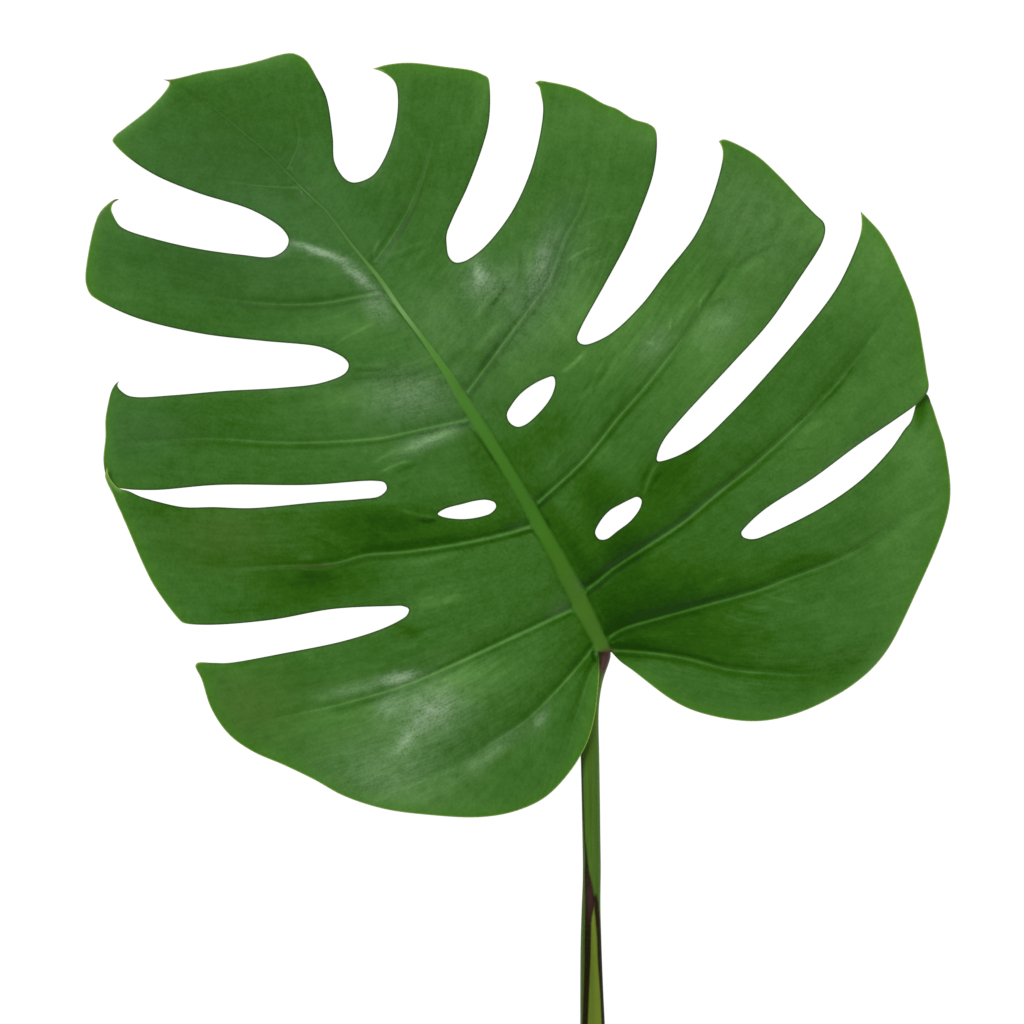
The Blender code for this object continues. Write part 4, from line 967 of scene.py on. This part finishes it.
def press_channel(stalk, station, knee):
    """Presses the sheath's channel into one ring of the stalk: two crests with a trough between them."""
    y, x, half_width, top, opening = station
    half_height = top / (1 + SECTION_BOTTOM)
    for share, shift in CHANNEL_SHIFTS:
        bpy.ops.mesh.select_all(action="DESELECT")
        net = bmesh.from_edit_mesh(stalk.data)
        for vertex in net.verts:
            u = ((vertex.co.x - knee[0]) / MM - x) / (half_width + STALK_SWELL)
            at_ring = abs((vertex.co.y - knee[1]) / MM - y) < RING_TOLERANCE
            upper_half = vertex.co.z > SECTION_BOTTOM * half_height * MM
            if at_ring and upper_half and abs(abs(u) - share) < SHARE_TOLERANCE:
                vertex.select = True
        net.select_flush(True)
        bmesh.update_edit_mesh(stalk.data)
        bpy.ops.transform.translate(value=(0, 0, shift * opening * half_height * MM))


def select_ring(stalk, y, knee):
    """Selects the ring of the stalk at one place along it, and nothing else."""
    bpy.ops.mesh.select_all(action="DESELECT")
    net = bmesh.from_edit_mesh(stalk.data)
    for vertex in net.verts:
        if abs((vertex.co.y - knee[1]) / MM - y) < RING_TOLERANCE:
            vertex.select = True
    net.select_flush(True)
    bmesh.update_edit_mesh(stalk.data)


def make_stalk(knee, materials):
    """The stalk: one ring drawn out from knee to cut end, its channel pressed in and its flat levelled."""
    stations = [STALK_JOIN] + STALK_STATIONS
    centres = [Vector((knee[0] + x * MM, knee[1] + y * MM, SECTION_BOTTOM * top / (1 + SECTION_BOTTOM) * MM))
               for y, x, _, top, _ in stations]
    halves = [((half_width + STALK_SWELL) * MM, top / (1 + SECTION_BOTTOM) * MM)
              for _, _, half_width, top, _ in stations]
    bpy.ops.object.select_all(action="DESELECT")
    bpy.ops.mesh.primitive_circle_add(vertices=STALK_SIDES, radius=1, fill_type="NGON", location=centres[0],
                                      rotation=(math.pi / 2, 0, 0))
    stalk = bpy.context.object
    stalk.name = "monstera_stalk"
    bpy.ops.object.transform_apply(location=True, rotation=True, scale=True)
    bpy.ops.object.mode_set(mode="EDIT")
    bpy.ops.mesh.select_all(action="SELECT")
    bpy.ops.transform.resize(value=(halves[0][0], 1, halves[0][1]), center_override=centres[0])
    for i in range(1, len(stations)):
        step = centres[i] - centres[i - 1]
        bpy.ops.mesh.extrude_region_move(TRANSFORM_OT_translate={"value": step})
        grown = (halves[i][0] / halves[i - 1][0], 1, halves[i][1] / halves[i - 1][1])
        bpy.ops.transform.resize(value=grown, center_override=centres[i])
    for station in stations:
        if station[-1] > 0:
            press_channel(stalk, station, knee)

    # The resting flat: everything that is below the table is levelled to it
    bpy.ops.mesh.select_all(action="DESELECT")
    net = bmesh.from_edit_mesh(stalk.data)
    for vertex in net.verts:
        vertex.select = vertex.co.z < 0
    net.select_flush(True)
    bmesh.update_edit_mesh(stalk.data)
    bpy.ops.transform.resize(value=(1, 1, 0), center_override=(0, 0, 0))
    for station in (stations[0], stations[-1]):
        select_ring(stalk, station[0], knee)
        bpy.ops.transform.edge_crease(value=1)
    bpy.ops.mesh.select_all(action="SELECT")
    bpy.ops.mesh.normals_make_consistent(inside=False)
    bpy.ops.object.mode_set(mode="OBJECT")

    rounding = stalk.modifiers.new("rounding", "SUBSURF")
    rounding.levels = rounding.render_levels = 2
    bpy.ops.object.modifier_apply(modifier="rounding")
    bpy.ops.object.shade_smooth_by_angle(angle=STALK_SHARP_ANGLE)
    for material in materials:
        stalk.data.materials.append(material)
    mark_stalk(stalk.data, knee)
    return stalk


def band_at(x, y, edges):
    """1 inside a band down the stalk, given as y, left x and right x, and softly 0 outside it."""
    ys, lefts, rights = (np.array(column) for column in zip(*sorted(edges)))
    left, right = np.interp(y, ys, lefts), np.interp(y, ys, rights)
    inner = np.minimum(x - left, right - x) / MARK_SOFTNESS
    return np.clip(0.5 + inner, 0, 1) * (y < ys[-1])


def mark_stalk(mesh, knee):
    """Where the stalk's dark sheath margins, its reddened mouth, channel floor and brown knee lie."""
    places = np.zeros(3 * len(mesh.vertices))
    mesh.vertices.foreach_get("co", places)
    x, y, z = ((places.reshape(-1, 3) - (*knee, 0)) / MM).T
    upper = np.clip((z - MARKS_ABOVE) / MARKS_RISE, 0, 1)
    dark = np.maximum(band_at(x, y, LEFT_SHEATH_MARGIN), band_at(x, y, RIGHT_SHEATH_MARGIN)) * upper
    dark = np.maximum(dark, FLANK_DARKNESS * band_at(x, y, LEFT_FLANK))
    floor = band_at(x, y, CHANNEL_FLOOR) * upper
    plan = np.column_stack([x, y]) * MM
    browned = np.clip((y + KNEE_BROWN_SLANT * x - KNEE_BROWN_START) / KNEE_BROWN_LENGTH, 0, 1)
    brown = browned ** KNEE_BROWN_POWER * (1 - patches(plan, PALE_SHOULDER))
    brown = np.maximum(brown, patches(plan, SHEATH_MOUTH))
    attribute = mesh.attributes.new("stalk_marks", "FLOAT_VECTOR", "POINT")
    attribute.data.foreach_set("vector", np.column_stack([dark, floor, brown]).ravel())
    end = min(polygon.center.y for polygon in mesh.polygons)
    for polygon in mesh.polygons:
        at_end = polygon.center.y < end + RING_TOLERANCE * MM
        polygon.material_index = 1 if at_end and polygon.normal.y < -END_FACING else 0


def linear(hex_colour):
    """An sRGB hex colour as linear red, green, blue and alpha."""
    channels = [int(hex_colour[i:i + 2], 16) / 255 for i in (1, 3, 5)]
    return (*[c / 12.92 if c <= 0.04045 else ((c + 0.055) / 1.055) ** 2.4 for c in channels], 1)


def add(material, kind, inputs=None, output=0, ramp=None, **settings):
    """Adds a node with its settings, its values, links and colour ramp, and returns one of its outputs."""
    node = material.node_tree.nodes.new(kind)
    for name, value in settings.items():
        setattr(node, name, value)
    for name, value in (inputs or {}).items():
        if isinstance(value, bpy.types.NodeSocket):
            material.node_tree.links.new(value, node.inputs[name])
        else:
            node.inputs[name].default_value = value
    if ramp:
        stops = node.color_ramp.elements
        while len(stops) < len(ramp):
            stops.new(1)
        for stop, (position, colour) in zip(stops, ramp):
            stop.position = position
            stop.color = linear(colour)
    return node.outputs[output]


# How strongly the leaf's surfaces mirror the lights
SHEEN = 0.12


def new_material(name, roughness, ior=1.45):
    """A material with only its surface shader and output, and that shader."""
    material = bpy.data.materials.new(name)
    material.use_nodes = True
    surface = material.node_tree.nodes["Principled BSDF"]
    surface.inputs["Roughness"].default_value = roughness
    surface.inputs["IOR"].default_value = ior
    surface.inputs["Specular IOR Level"].default_value = SHEEN
    return material, surface


# Sockets of Blender's Mix node when it mixes colours
FACTOR, FIRST, SECOND, MIXED = 0, 6, 7, 2


def upper_face_material():
    """Waxy upper skin: satin green with painted shade and light, pale sunken veins and a thin grey painted
    sheen.
    """
    skin, surface = new_material("waxy upper leaf skin", 0.38, 1.38)
    read = {}
    for name in ("flow", "side_vein", "midrib", "margin", "tones"):
        whole = add(skin, "ShaderNodeAttribute", output="Vector", attribute_name=name)
        read[name] = (whole, *add(skin, "ShaderNodeSeparateXYZ", {0: whole}).node.outputs)
    flow = read["flow"][0]
    _, across_vein, line, brown = read["side_vein"]
    _, across_midrib, edge_shade, share = read["midrib"]
    _, edge, outer, wrinkled = read["margin"]
    _, tone, sheen_mask, olive = read["tones"]
    spot = add(skin, "ShaderNodeTexCoord", output="Object")

    # Lanes 1.2 mm wide and 20 mm long follow the veins, and wrinkles 3.5 mm wide and 28 mm long. Clouds are
    # 45 mm across, mottling 6 mm and the skin's grain 1.5 mm. The painted sheen lies in brush marks 0.7 mm
    # wide and specks of 1.1 mm
    noises = {}
    for name, stretch, scale, detail in (
            ("lanes", (34, 0.05, 0), 1, 3), ("wide lanes", (12, 0.035, 0), 1, 2),
            ("brush", (60, 0.12, 0), 1, 4), ("clouds", None, 22, 2), ("grain", None, 650, 3),
            ("mottle", None, 160, 4), ("speckle", None, 900, 4)):
        where = spot
        if stretch:
            where = add(skin, "ShaderNodeVectorMath", {0: flow, 1: stretch}, operation="MULTIPLY")
        noises[name] = add(skin, "ShaderNodeTexNoise", {"Vector": where, "Scale": scale, "Detail": detail,
                                                        "Roughness": 0.6})

    # Soft steps from one value to another
    eased = {}
    for name, value, low, high, start, end in (
            ("pale line", across_vein, 0.3, 1.5, 1, 0), ("midrib", across_midrib, 0.55, 1.12, 1, 0),
            ("midrib's shaded edge", across_midrib, 0.84, 1, 0, 1), ("edge's end", across_midrib, 1.05, 1.5, 1, 0),
            ("rim", edge, 0.2, 0.8, 1, 0), ("slit shade", edge, 0.4, 1.2, 1, 0),
            ("near margin", edge, 8, 1, 0, 1), ("speckle", noises["speckle"], 0.35, 0.65, 0, 1)):
        eased[name] = add(skin, "ShaderNodeMapRange", {"Value": value, "From Min": low, "From Max": high,
                                                       "To Min": start, "To Max": end},
                          interpolation_type="SMOOTHSTEP")

    # How light the green is, in shares of the ramp from its dark end to its light end
    depth = add(skin, "ShaderNodeMath", {0: tone, 1: 1 / GREEN_STEPS, 2: MIDDLE_GREEN},
                operation="MULTIPLY_ADD")
    shown_line = add(skin, "ShaderNodeMath", {0: eased["pale line"], 1: line}, operation="MULTIPLY")
    # Painted shade along the midrib's edges
    painted_edge_shade = add(skin, "ShaderNodeMath", {0: eased["midrib's shaded edge"], 1: eased["edge's end"]},
                    operation="MULTIPLY")
    painted_edge_shade = add(skin, "ShaderNodeMath", {0: painted_edge_shade, 1: edge_shade}, operation="MULTIPLY")
    # Wrinkles painted as lighter and darker streaks of the green: painted light and shade, with no relief
    wrinkle_shading = add(skin, "ShaderNodeMath", {0: noises["wide lanes"], 1: -0.5}, operation="ADD")
    wrinkle_shading = add(skin, "ShaderNodeMath", {0: wrinkle_shading, 1: wrinkled}, operation="MULTIPLY")
    lanes = add(skin, "ShaderNodeMath", {0: noises["lanes"], 1: -0.5}, operation="ADD")
    lanes = add(skin, "ShaderNodeMath", {0: lanes, 1: wrinkled}, operation="MULTIPLY")
    for amount, strength in ((shown_line, LINE_LIGHT), (painted_edge_shade, -1), (lanes, 0.5), (wrinkle_shading, 0.55),
                             (noises["clouds"], 0.2), (noises["mottle"], 0.28), (noises["grain"], 0.3)):
        depth = add(skin, "ShaderNodeMath", {0: amount, 1: strength, 2: depth}, operation="MULTIPLY_ADD")
    body = add(skin, "ShaderNodeValToRGB", {"Fac": depth}, ramp=BODY_GREENS)

    # Painted sheen: thin brushed and mottled grey-white highlights
    painted_sheen = add(skin, "ShaderNodeMath", {0: noises["brush"], 1: 2, 2: -1.3}, operation="MULTIPLY_ADD")
    painted_sheen = add(skin, "ShaderNodeMath", {0: noises["mottle"], 1: 1.7, 2: painted_sheen}, operation="MULTIPLY_ADD")
    painted_sheen = add(skin, "ShaderNodeMath", {0: eased["speckle"], 1: 0.7, 2: painted_sheen}, operation="MULTIPLY_ADD")
    painted_sheen = add(skin, "ShaderNodeMath", {0: painted_sheen, 1: sheen_mask}, operation="MULTIPLY", use_clamp=True)

    # Midrib with its painted highlight, thin rim lines with painted shade along the slits, painted sheen and
    # tints over the body green
    rib_green = add(skin, "ShaderNodeValToRGB", {"Fac": share}, ramp=MIDRIB_GREENS_AND_HIGHLIGHT)
    slit = add(skin, "ShaderNodeMath", {0: 1, 1: outer}, operation="SUBTRACT")
    outer_line = add(skin, "ShaderNodeMath", {0: eased["rim"], 1: outer}, operation="MULTIPLY")
    # Painted shade along the slit edges
    slit_shade_line = add(skin, "ShaderNodeMath", {0: eased["slit shade"], 1: slit}, operation="MULTIPLY")
    greyish = add(skin, "ShaderNodeMath", {0: olive, 1: -1}, operation="MULTIPLY")
    near_margin = add(skin, "ShaderNodeMath", {0: eased["near margin"], 1: outer}, operation="MULTIPLY")
    for amount, strength, tint in ((olive, 0.5, "#56642a"), (greyish, 0.3, "#5a7562"),
                                   (near_margin, 0.35, "#3f760e"), (painted_sheen, 0.42, "#b4c6b0"),
                                   (eased["midrib"], 0.95, rib_green), (outer_line, 0.75, "#8ea548"),
                                   (slit_shade_line, 0.62, "#2a3a16"), (brown, 0.85, "#4a3626")):
        amount = add(skin, "ShaderNodeMath", {0: amount, 1: strength}, operation="MULTIPLY", use_clamp=True)
        tint = linear(tint) if isinstance(tint, str) else tint
        body = add(skin, "ShaderNodeMix", {FACTOR: amount, FIRST: body, SECOND: tint}, output=MIXED,
                   data_type="RGBA")
    skin.node_tree.links.new(body, surface.inputs["Base Color"])

    # Gloss broken by the lanes, and duller where the painted sheen lies
    gloss = add(skin, "ShaderNodeMath", {0: noises["lanes"], 1: 0.1, 2: 0.25}, operation="MULTIPLY_ADD")
    gloss = add(skin, "ShaderNodeMath", {0: painted_sheen, 1: 0.15, 2: gloss}, operation="MULTIPLY_ADD")
    skin.node_tree.links.new(gloss, surface.inputs["Roughness"])

    # Fine relief: the lanes and the grain of the skin, under a tenth of a millimetre deep
    rough = add(skin, "ShaderNodeMath", {0: noises["grain"], 1: 0.4, 2: noises["lanes"]},
                operation="MULTIPLY_ADD")
    bump = add(skin, "ShaderNodeBump", {"Height": rough, "Strength": 0.5, "Distance": 0.08 * MM})
    skin.node_tree.links.new(bump, surface.inputs["Normal"])
    return skin


def lower_face_material():
    """Matt underside: paler grey-green with light raised ribs."""
    skin, surface = new_material("matt lower leaf skin", 0.6)
    spot = add(skin, "ShaderNodeTexCoord", output="Object")
    clouds = add(skin, "ShaderNodeTexNoise", {"Vector": spot, "Scale": 30, "Detail": 4})
    body = add(skin, "ShaderNodeValToRGB", {"Fac": clouds}, ramp=[(0.35, "#5a8546"), (0.65, "#6b9655")])
    ribs = []
    for name, low, high in (("side_vein", 0.7, 1.2), ("midrib", 0.9, 1.1)):
        whole = add(skin, "ShaderNodeAttribute", output="Vector", attribute_name=name)
        parts = add(skin, "ShaderNodeSeparateXYZ", {0: whole}).node.outputs
        rib = add(skin, "ShaderNodeMapRange", {"Value": parts[0], "From Min": low, "From Max": high,
                                               "To Min": 1, "To Max": 0})
        ribs.append((rib, parts[1]))

    # A side vein's colour ends where its pale line does
    (vein, line), (midrib, _) = ribs
    shown = add(skin, "ShaderNodeMath", {0: line, 1: 4}, operation="MULTIPLY", use_clamp=True)
    vein = add(skin, "ShaderNodeMath", {0: vein, 1: shown}, operation="MULTIPLY")
    pale = add(skin, "ShaderNodeMath", {0: vein, 1: midrib}, operation="MAXIMUM")
    body = add(skin, "ShaderNodeMix", {FACTOR: pale, FIRST: body, SECOND: linear("#9bb873")}, output=MIXED,
               data_type="RGBA")
    skin.node_tree.links.new(body, surface.inputs["Base Color"])

    # A net of fine veinlets about 4 mm across stands out below
    net = add(skin, "ShaderNodeTexVoronoi", {"Vector": spot, "Scale": 250}, feature="DISTANCE_TO_EDGE")
    bump = add(skin, "ShaderNodeBump", {"Height": net, "Strength": 0.3, "Distance": 0.1 * MM}, invert=True)
    skin.node_tree.links.new(bump, surface.inputs["Normal"])
    return skin


def rim_material():
    """Cartilage of the margin: a thin dry yellow-green line round the lobes, darker grey-brown in the slits
    as painted shade.
    """
    cartilage, surface = new_material("leaf margin cartilage", 0.5)
    whole = add(cartilage, "ShaderNodeAttribute", output="Vector", attribute_name="margin")
    outer = add(cartilage, "ShaderNodeSeparateXYZ", {0: whole}, output="Y")
    spot = add(cartilage, "ShaderNodeTexCoord", output="Object")

    # Dry flecks about 3 mm long
    flecks = add(cartilage, "ShaderNodeTexNoise", {"Vector": spot, "Scale": 350, "Detail": 2})
    place = add(cartilage, "ShaderNodeMath", {0: flecks, 1: 0.5, 2: outer}, operation="MULTIPLY_ADD")
    colour = add(cartilage, "ShaderNodeValToRGB", {"Fac": place}, ramp=[(0.4, "#45572b"), (1, "#8ea548")])
    cartilage.node_tree.links.new(colour, surface.inputs["Base Color"])
    return cartilage


def stalk_material():
    """Living stalk skin: satin mid green, finely ribbed, with brown-black sheath edges and a brown knee."""
    skin, surface = new_material("ribbed green stalk skin", 0.42, 1.42)
    marks = add(skin, "ShaderNodeAttribute", output="Vector", attribute_name="stalk_marks")
    dark, floor, brown = add(skin, "ShaderNodeSeparateXYZ", {0: marks}).node.outputs
    spot = add(skin, "ShaderNodeTexCoord", output="Object")

    # Fibres 0.6 mm wide and 60 mm long run down the stalk. Blotches are 4 mm by 17 mm, and flecks about 1 mm
    noises = {}
    for name, stretch, detail in (("fibres", (1600, 16, 1600), 2), ("blotches", (260, 60, 260), 3),
                                  ("flecks", (1200, 700, 1200), 2)):
        where = add(skin, "ShaderNodeVectorMath", {0: spot, 1: stretch}, operation="MULTIPLY")
        noises[name] = add(skin, "ShaderNodeTexNoise", {"Vector": where, "Scale": 1, "Detail": detail})
    depth = add(skin, "ShaderNodeMath", {0: noises["fibres"], 1: 0.6}, operation="MULTIPLY")
    depth = add(skin, "ShaderNodeMath", {0: noises["blotches"], 1: 0.4, 2: depth}, operation="MULTIPLY_ADD")
    body = add(skin, "ShaderNodeValToRGB", {"Fac": depth}, ramp=[(0.3, "#3c5c18"), (0.7, "#4f7126")])
    for amount, strength, tint in ((floor, 1, "#74882f"), (dark, 0.97, "#220f08"), (brown, 0.9, "#4b2830")):
        ragged = add(skin, "ShaderNodeMath", {0: noises["flecks"], 1: 0.6, 2: 0.7}, operation="MULTIPLY_ADD")
        amount = add(skin, "ShaderNodeMath", {0: amount, 1: ragged}, operation="MULTIPLY", use_clamp=True)
        amount = add(skin, "ShaderNodeMath", {0: amount, 1: strength}, operation="MULTIPLY", use_clamp=True)
        body = add(skin, "ShaderNodeMix", {FACTOR: amount, FIRST: body, SECOND: linear(tint)}, output=MIXED,
                   data_type="RGBA")
    skin.node_tree.links.new(body, surface.inputs["Base Color"])
    rough = add(skin, "ShaderNodeMath", {0: dark, 1: 0.3, 2: 0.4}, operation="MULTIPLY_ADD")
    skin.node_tree.links.new(rough, surface.inputs["Roughness"])
    bump = add(skin, "ShaderNodeBump", {"Height": noises["fibres"], "Strength": 0.5, "Distance": 0.12 * MM})
    skin.node_tree.links.new(bump, surface.inputs["Normal"])
    return skin


def cut_end_material():
    """Fresh cut: moist pale green pith with darker bundles of fibre about 0.9 mm apart."""
    pith, surface = new_material("cut stalk pith", 0.35, 1.36)
    spot = add(pith, "ShaderNodeTexCoord", output="Object")
    bundles = add(pith, "ShaderNodeTexVoronoi", {"Vector": spot, "Scale": 1100})
    colour = add(pith, "ShaderNodeValToRGB", {"Fac": bundles}, ramp=[(0.12, "#76883f"), (0.3, "#b9c58a")])
    pith.node_tree.links.new(colour, surface.inputs["Base Color"])
    return pith


def area_light(name, place, power):
    """A large soft light that points at the middle of the leaf."""
    data = bpy.data.lights.new(name, "AREA")
    data.size = LIGHT_SIZE
    data.energy = power
    light = bpy.data.objects.new(name, data)
    light.location = place
    light.rotation_euler = (-Vector(place)).to_track_quat("-Z", "Y").to_euler()
    light.visible_camera = False
    bpy.context.collection.objects.link(light)


# What the camera sees, in metres and plan millimetres, and the studio round the leaf
FRAME_WIDTH = 0.512
FRAME_CENTRE = (-46.5, 71.5)
LEAF_LEVEL = 4 * MM
CAMERA_HEIGHT = 3.2
SENSOR_WIDTH = 36
FLOOR_SIZE = 12
FLOOR_DROP = 0.05 * MM
FLOOR_GREY = "#404040"
ROOM_LIGHT = 0.15
LIGHT_SIZE = 1.6
KEY_PLACE = (-1.7, 1.7, 1.7)
KEY_POWER = 85
FILL_PLACE = (1.7, -1.5, 1.7)
FILL_POWER = 50


def make_studio(knee):
    """A pale floor, soft light mostly from the upper left, and a camera that looks straight down."""
    centre = in_metres(FRAME_CENTRE) + knee
    data = bpy.data.cameras.new("camera")
    data.sensor_width = SENSOR_WIDTH
    data.lens = SENSOR_WIDTH * (CAMERA_HEIGHT - LEAF_LEVEL) / FRAME_WIDTH
    camera = bpy.data.objects.new("camera", data)
    camera.location = (centre[0], centre[1], CAMERA_HEIGHT)
    bpy.context.collection.objects.link(camera)
    bpy.context.scene.camera = camera
    bpy.context.scene.view_settings.view_transform = "Standard"

    bpy.ops.object.select_all(action="DESELECT")
    bpy.ops.mesh.primitive_plane_add(size=FLOOR_SIZE, location=(0, 0, -FLOOR_DROP))
    floor = bpy.context.object
    floor.name = "floor"
    paper, surface = new_material("white paper floor", 0.9)
    surface.inputs["Base Color"].default_value = linear(FLOOR_GREY)
    surface.inputs["Emission Color"].default_value = (1, 1, 1, 1)
    surface.inputs["Emission Strength"].default_value = 1
    floor.data.materials.append(paper)

    world = bpy.data.worlds.new("pale room")
    world.use_nodes = True
    world.node_tree.nodes["Background"].inputs["Color"].default_value = (1, 1, 1, 1)
    world.node_tree.nodes["Background"].inputs["Strength"].default_value = ROOM_LIGHT
    bpy.context.scene.world = world
    area_light("key light", KEY_PLACE, KEY_POWER)
    area_light("fill light", FILL_PLACE, FILL_POWER)


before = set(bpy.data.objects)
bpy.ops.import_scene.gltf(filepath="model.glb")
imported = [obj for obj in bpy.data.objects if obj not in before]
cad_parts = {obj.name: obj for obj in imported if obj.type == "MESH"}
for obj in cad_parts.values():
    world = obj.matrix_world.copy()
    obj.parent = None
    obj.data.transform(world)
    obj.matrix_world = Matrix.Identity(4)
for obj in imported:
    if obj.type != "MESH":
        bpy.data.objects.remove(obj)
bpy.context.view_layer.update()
stalk_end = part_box("petiole")[0]
END_Y, END_X, END_HALF_WIDTH = STALK_STATIONS[-1][:3]
KNEE = np.array([stalk_end.x, stalk_end.y]) - in_metres((END_X - END_HALF_WIDTH, END_Y))

blade = make_blade(KNEE, [upper_face_material(), lower_face_material(), rim_material()])
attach(blade, "root")
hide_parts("blade")

stalk = make_stalk(KNEE, [stalk_material(), cut_end_material()])
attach(stalk, "root")
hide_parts("petiole")

make_studio(KNEE)
